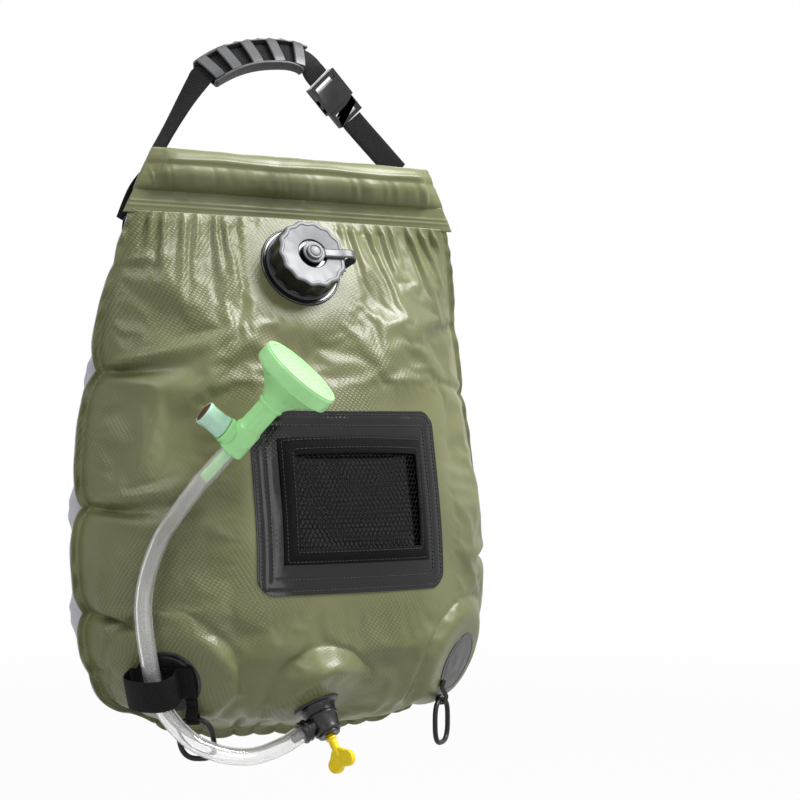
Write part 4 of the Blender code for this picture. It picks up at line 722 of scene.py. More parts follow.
def clear_tube():
    """PVC tube, extruded: clear and a little milky, with drawn lines along it."""
    material, tree, shader = new_material(
        "extruded PVC tube, clear", "#FDFDFD", 0.03, transmission_weight=0.88, ior=1.50
    )
    place = place_of(tree)
    tree.links.new(ranged(tree, noise(tree, place, 0.02, 2.0), 0.3, 0.7, 0.02, 0.05), shader.inputs["Roughness"])
    bumped(tree, shader, noise(tree, place, 0.008, 1.0), 0.00003)
    return material


def seal_rubber():
    """Nitrile rubber, moulded: black and matt."""
    return moulding("moulded nitrile rubber, black", "#161616", 0.75, 0.0005, 0.00002)


def tinted(name, key, roughness, **sockets):
    colour = getattr(bpy.context.scene.shower_colours, key)
    return moulding(name, (*colour, 1), roughness, **sockets)


FINISHES = {
    "olive film": olive_film,
    "grey shade film": grey_shade_film,
    "black film": black_film,
    "patch film": patch_film,
    "webbing": webbing_black,
    "tape": binding_tape,
    "net": knitted_net,
    "thread": sewing_thread,
    "tube": clear_tube,
    "rubber": seal_rubber,
    # injection moulded polypropylene: dark grey, spark-eroded texture
    "grip": lambda: moulding("moulded polypropylene, dark grey", "#3C3D40", 0.42, 0.0008, 0.00005),
    # injection moulded acetal: black, slick
    "acetal": lambda: moulding("moulded acetal, black", "#0C0C0D", 0.38, specular_ior_level=0.35),
    # injection moulded polyethylene: black, waxy gloss
    "cap side": lambda: moulding("moulded polyethylene, black", "#0F1012", 0.20),
    # the same black moulding's top, painted grey as a sheen that stands in for the light it reflects there
    "cap top painted sheen": lambda: moulding("moulded polyethylene, painted grey sheen", "#66676B", 0.42),
    "tether": lambda: moulding("moulded soft polyethylene, dark grey", "#46474A", 0.36),
    "outlet": lambda: moulding("moulded nylon, black", "#17181A", 0.33),
    "mint": lambda: tinted("moulded ABS, mint", "mint", 0.30, subsurface_weight=0.12, subsurface_scale=0.004),
    "pale mint": lambda: tinted(
        "moulded ABS, pale mint", "pale_mint", 0.26, subsurface_weight=0.12, subsurface_scale=0.004
    ),
    "disc": lambda: tinted("moulded ABS, dark red", "disc", 0.28),
    "yellow": lambda: tinted("moulded ABS, yellow", "key", 0.48),
    "rod": lambda: moulding("extruded polyethylene, pale grey", "#C4C4C6", 0.5),
}


# Sizes and colours that a user would change


def colour_property(name, description, code):
    return FloatVectorProperty(
        name=name, description=description, subtype="COLOR", size=3, min=0, max=1, default=linear(code)[:3]
    )


def size_property(name, description, value):
    return FloatProperty(
        name=name, description=description, default=value, min=0, unit="LENGTH", subtype="DISTANCE", precision=5
    )


class ShowerSizes(bpy.types.PropertyGroup):
    """Sizes of the details, in metres."""

    weave_pitch: size_property("Weave pitch", "Distance between two embossed dashes of the film", 0.0030)
    weave_relief: size_property("Weave relief", "Height of the embossed dashes", 0.00022)
    gather_height: size_property("Gather height", "Height of the soft folds under the top band", 0.0034)
    pleat_height: size_property("Pleat height", "Height of the folds along the bottom seam", 0.0042)
    net_pitch: size_property("Net pitch", "Distance between two holes of the pocket net", 0.0034)
    stitch: size_property("Stitch", "Length of one stitch", 0.0030)
    cloth_limit: size_property("Cloth limit", "How far the simulated film may move", 0.0060)


class ShowerColours(bpy.types.PropertyGroup):
    """Colours of the main materials."""

    film: colour_property("Film", "Olive film in the light", "#797A54")
    film_dark: colour_property("Film, dark", "Olive film where it is cloudy", "#6A6B43")
    # Painted shade between the weave's dashes, not a colour of the film itself.
    film_dash_shade: colour_property("Film, painted dash shade", "Olive film between the embossed dashes", "#43452A")
    mint: colour_property("Mint", "Shower head", "#B0F2A5")
    pale_mint: colour_property("Pale mint", "Valve knob", "#BFEBD3")
    disc: colour_property("Disc", "Disc in the valve knob", "#4A1210")
    key: colour_property("Key", "Tap key", "#F0D410")
    backdrop: colour_property("Backdrop", "Floor and backdrop", "#FFFFFF")


# Camera and hose, then the stage


class SHOWER_OT_camera(bpy.types.Operator):
    """Place the camera at the photograph's viewing angle"""

    bl_idname = "shower.camera"
    bl_label = "Camera"

    def execute(self, context):
        data = bpy.data.cameras.new("Camera")
        data.lens = CAMERA_LENS
        data.sensor_width = 36
        data.sensor_fit = "HORIZONTAL"
        camera = bpy.data.objects.new("Camera", data)
        camera.location = CAMERA_PLACE
        camera.rotation_euler = CAMERA_TURN
        context.scene.collection.objects.link(camera)
        context.scene.camera = camera
        return {"FINISHED"}


class SHOWER_OT_hose(bpy.types.Operator):
    """Make the clear hose from the tap round to the shower head"""

    bl_idname = "shower.hose"
    bl_label = "Hose"

    def execute(self, context):
        on_tap = (NIPPLE_LENGTH + GAP, MID_TAP_BARB, NIPPLE_LENGTH + TAP_BARB + GAP)
        on_head = (TEE_BACK + HEAD_BARB + GAP, TEE_BACK + MID_HEAD_BARB, TEE_BACK + GAP)
        start = [NIPPLE_PLACE + NIPPLE_RUN * reach for reach in on_tap]
        leave = NIPPLE_PLACE + NIPPLE_RUN * (on_tap[-1] + HOSE_RADIUS)
        arrive = HEAD_PLACE - HEAD_RUN * (on_head[0] + HOSE_RADIUS)
        end = [HEAD_PLACE - HEAD_RUN * reach for reach in on_head]
        path = spread(through(start + [leave] + list(HOSE_ROUTE) + [arrive] + end, 12), HOSE_STEP)
        side = Y
        rings = []
        for i, point in enumerate(path):
            run = Vector(path[min(i + 1, len(path) - 1)] - path[max(i - 1, 0)]).normalized()
            side = (side - run * side.dot(run)).normalized()
            rings.append((Vector(point), side.copy(), run.cross(side)))

        def wall(radius):
            return [
                [
                    p + s * radius * math.cos(a) + t * radius * math.sin(a)
                    for a in np.linspace(0, 2 * math.pi, HOSE_SIDES, endpoint=False)
                ] for p, s, t in rings
            ]

        tube = swept("hose_tube", wall(HOSE_RADIUS) + wall(HOSE_BORE)[::-1], finish("tube"), closed=True)
        settle(tube, "bag", "hose", "hose", "hose_tap_end", "hose_head_end")
        return {"FINISHED"}


class SHOWER_OT_stage(bpy.types.Operator):
    """Make the floor, the white surroundings and the studio lights"""

    bl_idname = "shower.stage"
    bl_label = "Stage"

    def execute(self, context):
        colours = context.scene.shower_colours
        verts = [(x, y, -0.74) for y in (-40, 40) for x in (-40, 40)]
        material, tree, shader = new_material("painted floor, white", "#C8C8C8", 0.8)
        bumped(tree, shader, noise(tree, place_of(tree), 0.004, 2.0), 0.0001)
        glow = add(tree, "Emission", {"Color": (*colours.backdrop, 1), "Strength": 1.0}).outputs[0]
        away = add(tree, "VectorMath", {0: place_of(tree)}, operation="LENGTH").outputs["Value"]
        white = times(tree, seen_rays(tree), ranged(tree, away, 0.8, 3.0, 0.93, 1.0))
        mix = add(tree, "MixShader", {0: white, 1: shader.outputs[0], 2: glow}).outputs[0]
        tree.links.new(mix, tree.nodes["Material Output"].inputs["Surface"])
        shell("floor", verts, strip_faces(2, 2), material, 60)

        world = context.scene.world or bpy.data.worlds.new("World")
        context.scene.world = world
        world.use_nodes = True
        tree = world.node_tree
        back = tree.nodes["Background"]
        back.inputs["Color"].default_value = linear("#FFFFFF")
        tree.links.new(ranged(tree, seen_rays(tree), 0.0, 1.0, 0.10, 1.0), back.inputs["Strength"])
        lights = (
            ("key", (0.85, -0.80, 1.10), 0.7, 0.7, 46),
            ("front", (0.10, -1.65, -0.12), 0.40, 1.1, 3.0),
            ("left", (-1.3, -0.5, 0.8), 0.5, 0.9, 10),
            ("top", (0.0, -0.1, 1.1), 0.9, 0.5, 5),
            ("back", (0.5, 1.1, 0.4), 0.9, 0.9, 5),
        )
        for name, place, wide, high, power in lights:
            data = bpy.data.lights.new(name, "AREA")
            data.shape = "RECTANGLE"
            data.size = wide
            data.size_y = high
            data.energy = power
            lamp = bpy.data.objects.new(name, data)
            lamp.location = place
            lamp.rotation_euler = (Vector((0, 0, -0.32)) - Vector(place)).to_track_quat("-Z", "Y").to_euler()
            context.scene.collection.objects.link(lamp)
        context.scene.view_settings.view_transform = "Standard"
        return {"FINISHED"}


# The bag's film


def laid_out(points, flange=0.0):
    """Widest row, middle column and area of a grid, measured along it, with a flange round its sides and bottom."""
    rows = np.linalg.norm(np.diff(points, axis=1), axis=-1).sum(axis=1)
    columns = np.linalg.norm(np.diff(points, axis=0), axis=-1).sum(axis=0)
    cells = np.cross(points[1:, 1:] - points[:-1, :-1], points[1:, :-1] - points[:-1, 1:])
    area = np.linalg.norm(cells, axis=-1).sum() / 2 + flange * (columns[0] + columns[-1] + rows[-1])
    return float(rows.max() + 2 * flange), float(columns[len(columns) // 2] + flange), float(area)


def panel_grid(side, columns, rows):
    """Shares across and down, with the points of the panel's outer face and its flange."""
    even = np.linspace(-1, 1, columns + 1)
    u = 0.55 * even + 0.45 * np.sin(math.pi / 2 * even)
    t = np.linspace(0, 1, rows + 1)
    v = 0.6 * t + 0.2 * (1 - np.cos(math.pi * t))
    uu, vv = np.meshgrid(u, v)
    x, z = outline_at(uu, vv)
    points = flattened(np.stack([x, panel_y(uu, vv, side), z], -1), side)
    return uu, vv, points


def grid_normals(points):
    across = np.gradient(points, axis=1)
    down = np.gradient(points, axis=0)
    normal = np.cross(across, down)
    return normal / np.maximum(np.linalg.norm(normal, axis=-1), 1e-12)[..., None]


def fold_heights(u, v, side, sizes):
    """How far the film's folds stand out, and how the side and bottom seams are drawn in."""
    rise = np.zeros_like(u)
    inward = np.zeros_like(u)
    lifted = np.zeros_like(u)
    for hand, at, depth, reach, lean in NOTCHES:
        s = 1 - u * hand
        where = np.where(s < 1, s, 1)
        offset = v - at - lean * where
        narrow = 0.007 + 0.040 * where
        fall = np.exp(-(where / reach) ** 1.4)
        valley = np.exp(-(offset / narrow) ** 2)
        ridge = np.exp(-((offset + 1.7 * narrow) / (0.9 * narrow)) ** 2) + 0.6 * np.exp(
            -((offset - 2.1 * narrow) / (1.2 * narrow)) ** 2
        )
        share = 1 if side == "front" else 0.4
        rise += share * depth * fall * (0.55 * ridge - 0.60 * valley) * (1 - np.exp(-(where / 0.025) ** 2))
        drawn = np.exp(-np.abs(v - at) / 0.024) * np.exp(-(where / 0.10) ** 1.5)
        # The back panel puffs out past the seam at the notches, where its pale grey shows as painted shade.
        puff = np.exp(-(((v - at) / 0.065) ** 2)) * (
            1 - np.exp(-(where / 0.012) ** 2)
        ) * np.exp(-(where / 0.22) ** 2)
        inward -= hand * depth * (drawn if side == "front" else drawn * np.exp(-(where / 0.012) ** 2) - 0.75 * puff)
    for k, at in enumerate(BOTTOM_PLEATS):
        height = sizes.pleat_height * (0.7 + 0.5 * ((k * 7) % 5) / 4)
        reach = 0.05 + 0.05 * ((k * 3) % 4) / 3
        offset = u - at - 0.10 * math.sin(2.1 * k + 1) * (1 - v)
        narrow = 0.016 + 0.16 * (1 - v)
        fall = np.exp(-((1 - v) / reach) ** 1.5)
        rise += height * fall * (
            0.5 * np.exp(-((np.abs(offset) - 1.8 * narrow) / narrow) ** 2) - np.exp(-(offset / narrow) ** 2)
        )
        lifted += 0.0045 * np.exp(-np.abs(u - at) / 0.045) * np.exp(-((1 - v) / 0.03) ** 1.5)
    for k, at in enumerate(TOP_GATHERS):
        length = 0.075 + 0.085 * ((k * 5) % 7) / 6
        offset = u - at - 0.16 * math.sin(1.7 * k) * v
        narrow = 0.011 + 0.10 * v
        fall = np.exp(-(v / length) ** 1.4)
        rise += sizes.gather_height * fall * (
            np.exp(-((offset - 1.4 * narrow) / narrow) ** 2) - np.exp(-(offset / narrow) ** 2)
        )
    for k in range(9):
        a = 1.7 + 1.3 * math.sin(3.1 * k + 0.5)
        b = 2.4 + 1.9 * math.sin(1.9 * k + 2.0)
        rise += 0.00045 * np.sin(math.pi * (a * u + b * v) + 2.3 * k + (1.4 if side == "back" else 0))
    edge = np.clip((1 - np.abs(u)) / 0.05, 0, 1) * np.clip((1 - v) / 0.03, 0, 1) * np.clip(v / 0.02, 0, 1)
    return rise, inward, lifted, edge


def spokes(points, centre, normal, inner, count, height):
    """Short folds that run out from a round fitting."""
    away = points - centre
    flat = away - (away @ normal)[..., None] * normal
    reach = np.linalg.norm(flat, axis=-1)
    angle = np.arctan2(flat[..., 0], flat[..., 2])
    fall = np.exp(-np.clip(reach - inner, 0, None) / 0.016) * np.clip((reach - inner) / 0.006, 0, 1)
    return height * fall * np.sin(count * angle + 1.3 * np.sin(2 * angle))


def film_panel(name, side, columns, rows, material):
    sizes = bpy.context.scene.shower_sizes
    u, v, inner = panel_grid(side, columns, rows)
    out = -1 if side == "front" else 1
    normal = grid_normals(inner)
    normal *= np.sign(normal[..., 1:2] * out + 1e-9)
    free = free_film(inner) if side == "front" else np.ones_like(u)
    rise, inward, lifted, edge = fold_heights(u, v, side, sizes)
    if side == "front":
        rise = rise + spokes(inner, OUTLET_PAD[0], OUTLET_PAD[1], 0.020, 7, 0.0014)
        rise = rise + spokes(inner, FILL_PAD[0], FILL_PAD[1], 0.036, 9, 0.0006)
    points = inner + normal * (FILM + rise * edge * free)[..., None]
    points[..., 0] += inward * (free if side == "front" else 1)
    points[..., 2] += lifted
    points[..., 1] += out * 0.0003

    a = np.zeros_like(u)
    a[:, 1:] = np.cumsum(np.linalg.norm(np.diff(inner, axis=1), axis=-1), axis=1)
    a -= a[:, columns // 2][:, None]
    b = np.zeros_like(u)
    b[1:] = np.cumsum(np.linalg.norm(np.diff(inner, axis=0), axis=-1), axis=0)
    measure = np.stack([a, b, np.zeros_like(a)], -1)

    wide, tall = len(u[0]), len(u)
    verts = [tuple(p) for p in points.reshape(-1, 3)]
    measures = [tuple(m) for m in measure.reshape(-1, 3)]
    faces = strip_faces(tall, wide)
    rim = [j * wide for j in range(tall)]
    rim += [(tall - 1) * wide + i for i in range(1, wide)]
    rim += [j * wide + wide - 1 for j in range(tall - 2, -1, -1)]
    last = rim
    for step, reach in enumerate(FLANGE_REACHES):
        ring = []
        for k, index in enumerate(rim):
            j, i = divmod(index, wide)
            before = np.array(verts[rim[max(k - 1, 0)]])
            after = np.array(verts[rim[min(k + 1, len(rim) - 1)]])
            run = after - before
            way = np.array((-run[2], 0, run[0])) * -1
            way = way / max(np.linalg.norm(way), 1e-9)
            if way @ (np.array((u[j, i], 0, -0.9 if j == tall - 1 else 0))) < 0:
                way = -way
            ripple = 0.0012 * math.sin(0.9 * k) * (step / 3) * math.sin(0.13 * k + step * 0.2)
            base = np.array(verts[index])
            y = seam_y(v[j, i]) + out * (0.0009 if step != 1 else 0.0005) + ripple
            spot = base + way * reach
            verts.append((spot[0], y, spot[2]))
            measures.append((measures[index][0] + way[0] * reach, measures[index][1] - way[2] * reach, 0))
            ring.append(len(verts) - 1)
        for k in range(len(ring) - 1):
            faces.append((last[k], last[k + 1], ring[k + 1], ring[k]))
        last = ring
    piece = shell(name, verts, faces, material, 180)
    keep_measure(piece, "film_m", measures[:len(piece.data.vertices)])
    locked = (1 - np.minimum(free, edge)).reshape(-1)
    locked = np.concatenate([locked, np.ones(len(piece.data.vertices) - len(locked))])
    return piece, locked, laid_out(inner, FLANGE_REACHES[-1])


def inflate(piece, locked, limit):
    """Lets the film settle under the water's pressure as cloth, held where it is welded or carries a fitting."""
    rest = np.array([v.co[:] for v in piece.data.vertices])
    group = piece.vertex_groups.new(name="held")
    for index, share in enumerate(locked):
        if share > 0.02:
            group.add([index], float(min(1, share)), "REPLACE")
    cloth = piece.modifiers.new("Cloth", "CLOTH")
    settings = cloth.settings
    settings.quality = 6
    settings.mass = 0.35
    settings.tension_stiffness = 18
    settings.compression_stiffness = 12
    settings.shear_stiffness = 8
    settings.bending_stiffness = 0.6
    settings.vertex_group_mass = "held"
    settings.shrink_min = -0.022
    settings.use_pressure = True
    settings.uniform_pressure_force = 2.2
    settings.effector_weights.gravity = 0
    cloth.collision_settings.use_collision = False
    scene = bpy.context.scene
    cloth.point_cache.frame_start = 1
    cloth.point_cache.frame_end = CLOTH_STEPS
    for step in range(1, CLOTH_STEPS + 1):
        scene.frame_set(step)
    seen = piece.evaluated_get(bpy.context.evaluated_depsgraph_get())
    moved = np.array([v.co[:] for v in seen.to_mesh().vertices])
    seen.to_mesh_clear()
    piece.modifiers.clear()
    scene.frame_set(1)
    shift = moved - rest
    length = np.linalg.norm(shift, axis=1)
    share = np.minimum(1, limit / np.maximum(length, 1e-9))
    final = rest + shift * share[:, None]
    piece.data.vertices.foreach_set("co", final.astype(np.float32).ravel())
    piece.data.update()
    piece.vertex_groups.clear()
    print("film settled by up to", round(float(length.max()) * 1000, 1), "mm")


class SHOWER_OT_film(bpy.types.Operator):
    """Make the bag's two inflated film panels with their welded edge"""

    bl_idname = "shower.film"
    bl_label = "Film panels"

    def execute(self, context):
        limit = context.scene.shower_sizes.cloth_limit
        for name, side, columns, rows, material, node in (
            ("bag_front", "front", 132, 150, "olive film", "front_panel"),
            ("bag_back", "back", 84, 90, "grey shade film", "back_panel"),
        ):
            piece, locked, (wide, tall, area) = film_panel(name, side, columns, rows, finish(material))
            inflate(piece, locked, limit)
            subdivision = piece.modifiers.new("Smooth", "SUBSURF")
            subdivision.levels = 1
            subdivision.render_levels = 1
            wall = piece.modifiers.new("Film", "SOLIDIFY")
            wall.thickness = FILM_WALL
            wall.offset = -1
            settle(piece, "bag", node, node)
        return {"FINISHED"}


# Straps and mouldings on the handle


STRAP_WIDTH = 0.020
STRAP_THICKNESS = 0.0015
STRAP_END_Y = 0.0030
LOOP_REACH = 0.1075
LOOP_DROP = 0.0800
LOOP_RIGHT = 0.1035
LEFT_STRAP_SHARES = ((-1, -1, 1), (-0.893, -0.744, 0.67), (-0.781, -0.481, 0.33), (-0.688, -0.281, 0))
LEFT_STRAP_TURNS = (78, 76, 66, 50)
GRIP_SHARES = (
    (-0.642, -0.206, 0), (-0.465, -0.063, 0), (-0.270, 0.028, 0), (-0.047, 0.073, 0), (0.084, 0.065, 0),
    (0.158, 0.035, 0), (0.197, -0.010, 0),
)
GRIP_TURNS = (42, 39, 39, 37, 33, 26, 14)
BUCKLE_TURN = 2
STRAP_STEPS = 4
BUCKLE_PLACE = (0.0440, 0, -0.0255)
BUCKLE_RUN = Vector((0.70, 0, -0.714)).normalized()
BUCKLE_FRAME = axes(BUCKLE_PLACE, BUCKLE_RUN, (-BUCKLE_RUN.z, 0, BUCKLE_RUN.x))
FEMALE_TOP = -0.020
MALE_END = 0.020
GAP = 0.0003


def twisted(rows, steps):
    """A strap's points and the direction across it at each, from (x, y, z, twist) rows."""
    rows = through(rows, steps)
    points = [Vector(row[:3]) for row in rows]
    across = []
    for i, row in enumerate(rows):
        run = (points[min(i + 1, len(points) - 1)] - points[max(i - 1, 0)]).normalized()
        twist = math.radians(row[3])
        across.append(Vector((-run.z, 0, run.x)) * math.cos(twist) + Y * math.sin(twist))
    return points, across


def band(name, points, across, width, thickness, material, ribs=0.0, rib_pitch=0.0018, pitch=0.0010, ribbed=(0, 1)):
    """A woven band with rounded selvedges along points, whose ribs may stand up between two shares of its length."""
    rows = spread([[*point, *side] for point, side in zip(points, across)], pitch)
    places = np.append(0, np.cumsum(np.linalg.norm(np.diff(rows[:, :3], axis=0), axis=1)))
    cells = 10
    verts = []
    measures = []
    for i, row in enumerate(rows):
        point = Vector(row[:3])
        run = Vector(rows[min(i + 1, len(rows) - 1)][:3] - rows[max(i - 1, 0)][:3]).normalized()
        side = Vector(row[3:])
        side = (side - run * side.dot(run)).normalized()
        rise = run.cross(side)
        share = places[i] / places[-1]
        swell = ribs * (
            0.5 - 0.5 * math.cos(2 * math.pi * places[i] / rib_pitch)
        ) if ribbed[0] <= share <= ribbed[1] else 0
        end = min(1.0, min(i, len(rows) - 1 - i) / 1.5 + 0.45)
        for face in (1, -1):
            for k in range(cells + 1):
                w = face * (2 * k / cells - 1)
                half = thickness / 2 * (1 - 0.62 * abs(w) ** 9) * end + swell * (1 - abs(w) ** 8)
                verts.append(point + side * (w * width / 2) + rise * face * half)
                measures.append((places[i], w * width / 2, 0))
    columns = 2 * (cells + 1)
    faces = strip_faces(len(rows), columns, False, True)
    faces += [list(range(columns)), [(len(rows) - 1) * columns + k for k in range(columns)]]
    piece = shell(name, verts, faces, material, 50)
    if len(piece.data.vertices) == len(measures):
        keep_measure(piece, "web_m", measures)
    return piece


def upper_strap():
    """The strap from the bag's left end through the grip to the buckle."""
    rows = []
    for (x, z, y), turn in zip(LEFT_STRAP_SHARES + GRIP_SHARES, LEFT_STRAP_TURNS + GRIP_TURNS):
        rows.append((x * LOOP_REACH, y * STRAP_END_Y, z * LOOP_DROP, turn))
    bar = FEMALE_TOP - STRAP_THICKNESS / 2 - GAP
    top = BUCKLE_FRAME @ Vector((0, 0, bar))
    near = BUCKLE_FRAME @ Vector((0, 0, bar - STRAP_WIDTH / 3))
    return twisted(rows + [(*near, BUCKLE_TURN), (*top, 0)], STRAP_STEPS)


def tail_end(x):
    point, _ = over_panel(np.array([x]), np.array([-0.1370]), "back", 0.001 + 0.0010 + 0.0034 + STRAP_THICKNESS / 2)
    return Vector(point[0])


class SHOWER_OT_straps(bpy.types.Operator):
    """Make the webbing straps, their tails and the film patches they are sewn to"""

    bl_idname = "shower.straps"
    bl_label = "Straps"

    def execute(self, context):
        web = finish("webbing")
        points, across = upper_strap()
        piece = band("strap_upper_web", points, across, STRAP_WIDTH, STRAP_THICKNESS, web, 0.00012)
        settle(piece, "handle", "strap_webbing", "strap_webbing")

        start = BUCKLE_FRAME @ Vector((0, 0, MALE_END + STRAP_THICKNESS / 2 + GAP))
        end = Vector((LOOP_RIGHT, STRAP_END_Y, -LOOP_DROP))
        near = BUCKLE_FRAME @ Vector((0, 0, MALE_END + STRAP_WIDTH / 3))
        rows = [(*point, 0) for point in (start, near, near.lerp(end, 0.5), end)]
        points, across = twisted(rows, STRAP_STEPS)
        piece = band("strap_lower_web", points, across, STRAP_WIDTH, STRAP_THICKNESS, web, 0.00012)
        settle(piece, "handle", "strap_lower", "strap_lower")

        for name, head_x, twist, foot_x in (
            ("strap_tail_left", -LOOP_REACH, LEFT_STRAP_TURNS[0], -0.1330),
            ("strap_tail_right", LOOP_RIGHT, 0, 0.1340),
        ):
            hand = math.copysign(1, foot_x)
            head = Vector((head_x, STRAP_END_Y, -LOOP_DROP))
            run = Vector((foot_x, 0, -0.1370)) - head
            first = head + run.normalized() * 0.0040
            last = tail_end(foot_x)
            middle = first.lerp(last, 0.5)
            middle.y = max(first.y, last.y)
            rows = [(*first, hand * twist), (*middle, hand * twist / 3), (*last, 0)]
            points, across = twisted(rows if hand > 0 else rows[::-1], STRAP_STEPS + 2)
            piece = band(name + "_web", points, across, STRAP_WIDTH, STRAP_THICKNESS, web, 0.00012)
            settle(piece, "bag", name, name)

        for name, x in (("anchor_left", -0.125), ("anchor_right", 0.125)):
            xs = np.linspace(-0.015, 0.015, 17)
            zs = np.linspace(-0.016, 0.016, 17)
            piece = sheet_over(
                name + "_film", (x, -0.146), xs, zs, 0.006, "back", 0.0010, 0.0010, finish("patch film")
            )
            settle(bevel(piece, 0.0003), "bag", name, name)
        return {"FINISHED"}


class SHOWER_OT_grip(bpy.types.Operator):
    """Make the moulded grip with its scalloped edge and its bridges"""

    bl_idname = "shower.grip"
    bl_label = "Grip"

    def execute(self, context):
        material = finish("grip")
        points, across = upper_strap()
        before = len(LEFT_STRAP_SHARES) * STRAP_STEPS
        part = slice(before, before + (len(GRIP_SHARES) - 2) * STRAP_STEPS + 1)
        points = points[part]
        across = across[part]
        lengths = np.cumsum([0] + [(b - a).length for a, b in zip(points, points[1:])])
        floor_top = -STRAP_THICKNESS / 2 - 0.0017
        floor = floor_top - 0.0025
        half = 0.014
        inner = half - 0.0025

        def at(share):
            s = share * lengths[-1]
            i = int(np.clip(np.searchsorted(lengths, s) - 1, 0, len(points) - 2))
            t = (s - lengths[i]) / (lengths[i + 1] - lengths[i])
            centre = points[i].lerp(points[i + 1], t)
            run = (points[min(i + 2, len(points) - 1)] - points[max(0, i - 1)]).normalized()
            side = across[i].lerp(across[i + 1], t)
            side = (side - run * side.dot(run)).normalized()
            return centre, side, run.cross(side), run

        sections = []
        stations = 120
        for k in range(stations + 1):
            share = k / stations
            centre, side, out, run = at(share)
            t = min(1, max(0, (share - 0.27) / 0.04)) * min(1, max(0, (0.985 - share) / 0.03))
            far = half - 0.0014 * t * (0.5 - 0.5 * math.cos(20 * math.pi * share)) ** 0.8
            rise = 0.0040 * (0.6 + 0.4 * math.sin(math.pi * share))
            end = 0.0007 * max(0, 1 - min(k, stations - k) / 1.5)
            outline = (
                (-half + end, floor + end), (far - end, floor + end), (far - end, rise - end),
                (inner + end, rise - end), (inner + end, floor_top - end), (-inner - end, floor_top - end),
                (-inner - end, rise - end), (-half + end, rise - end),
            )
            ring = []
            for j, (w, f) in enumerate(outline):
                here = Vector((w, f))
                before_way = Vector(outline[j - 1]) - here
                after_way = Vector(outline[(j + 1) % 8]) - here
                near = min(0.0009, before_way.length * 0.4, after_way.length * 0.4)
                start = here + before_way.normalized() * near
                stop = here + after_way.normalized() * near
                for mix in (0, 0.33, 0.67, 1):
                    spot = start.lerp(here, mix).lerp(here.lerp(stop, mix), mix)
                    ring.append(centre + side * spot.x + out * spot.y)
            sections.append(ring)
        parts = [swept("grip_channel", sections, material, 35)]
        base = STRAP_THICKNESS / 2 + 0.0017
        for k, share in enumerate((0.07, 0.26, 0.48, 0.70, 0.92)):
            centre, side, out, run = at(share)
            place = axes(centre, out, side)
            reach = inner + 0.0006
            ring = []
            for w in np.linspace(-1, 1, 13):
                top = base + 0.0024 - 0.0010 * abs(w) ** 4
                ring.append([(w * reach, y, z) for y, z in (
                    (-0.0045, base + 0.0005), (-0.0045, top - 0.0006), (-0.0039, top), (0.0039, top),
                    (0.0045, top - 0.0006), (0.0045, base + 0.0005), (0.0039, base), (-0.0039, base))])
            bridge = swept(f"grip_bridge_{k}", ring, material, 35)
            bridge.data.transform(place)
            parts.append(bridge)
        settle(joined("grip_moulding", parts), "handle", "grip", "grip")
        return {"FINISHED"}


class SHOWER_OT_buckle(bpy.types.Operator):
    """Make the side-release buckle's halves and its prongs with moulded edges"""

    bl_idname = "shower.buckle"
    bl_label = "Buckle"

    def execute(self, context):
        for node, body, width in (
            ("buckle_female", "handle", 0.0007),
            ("buckle_male", "handle", 0.0006),
            ("prong_left", "prong_left", 0.0005),
            ("prong_right", "prong_right", 0.0005),
        ):
            piece = moulded_copy(node + "_moulding", node, finish("acetal"), width)
            settle(piece, body, node, node)
        return {"FINISHED"}


# Films and nets laid over the bag


def rounded(x, z, half_width, half_height, radius):
    """Points of a rectangle moved in where its corners are round."""
    dx = np.abs(x) - (half_width - radius)
    dz = np.abs(z) - (half_height - radius)
    corner = (radius > 0) & (dx > 0) & (dz > 0)
    share = np.where(corner, np.maximum(dx, dz) / np.maximum(np.hypot(dx, dz), 1e-9), 1)
    x = np.where(corner, np.copysign(half_width - radius + dx * share, x), x)
    z = np.where(corner, np.copysign(half_height - radius + dz * share, z), z)
    return x, z


def sheet_over(name, centre, xs, zs, radius, side, lift, thickness, material, missing=None):
    """A closed sheet over the panel, with lift and thickness each a number or a function of the place on it."""
    xx, zz = np.meshgrid(np.asarray(xs, float), np.asarray(zs, float))
    px, pz = rounded(xx, zz, xs[-1], zs[-1], radius)
    low_lift = lift(px, pz) if callable(lift) else lift
    thick = thickness(px, pz) if callable(thickness) else thickness
    low, normal = over_panel(centre[0] + px, centre[1] + pz, side, low_lift)
    high = low + normal * np.broadcast_to(thick, px.shape)[..., None]
    rows, columns = px.shape
    count = rows * columns
    cells = [(j, i) for j in range(rows - 1) for i in range(columns - 1) if not (missing and missing(i, j))]
    faces = []
    edges = {}
    for j, i in cells:
        ring = (j * columns + i, j * columns + i + 1, (j + 1) * columns + i + 1, (j + 1) * columns + i)
        faces += [[n + count for n in ring], list(ring[::-1])]
        for a, b in zip(ring, ring[1:] + ring[:1]):
            if (b, a) in edges:
                del edges[(b, a)]
            else:
                edges[(a, b)] = True
    faces += [(a, b, b + count, a + count) for a, b in edges]
    verts = np.concatenate([low.reshape(-1, 3), high.reshape(-1, 3)])
    piece = shell(name, verts, faces, material, 45)
    work = bmesh.new()
    work.from_mesh(piece.data)
    bmesh.ops.delete(work, geom=[v for v in work.verts if not v.link_faces], context="VERTS")
    work.to_mesh(piece.data)
    work.free()
    return piece


def rounded_loop(half_width, half_height, radius, pitch):
    """Places round a rectangle with round corners, at an even pitch."""
    points = []
    for hand_x, hand_z, start in ((1, 1, 0), (-1, 1, 90), (-1, -1, 180), (1, -1, 270)):
        for k in range(9):
            a = math.radians(start + 90 * k / 8)
            x = hand_x * (half_width - radius) + radius * math.cos(a)
            z = hand_z * (half_height - radius) + radius * math.sin(a)
            points.append((x, z))
    return spread(points + [points[0]], pitch)


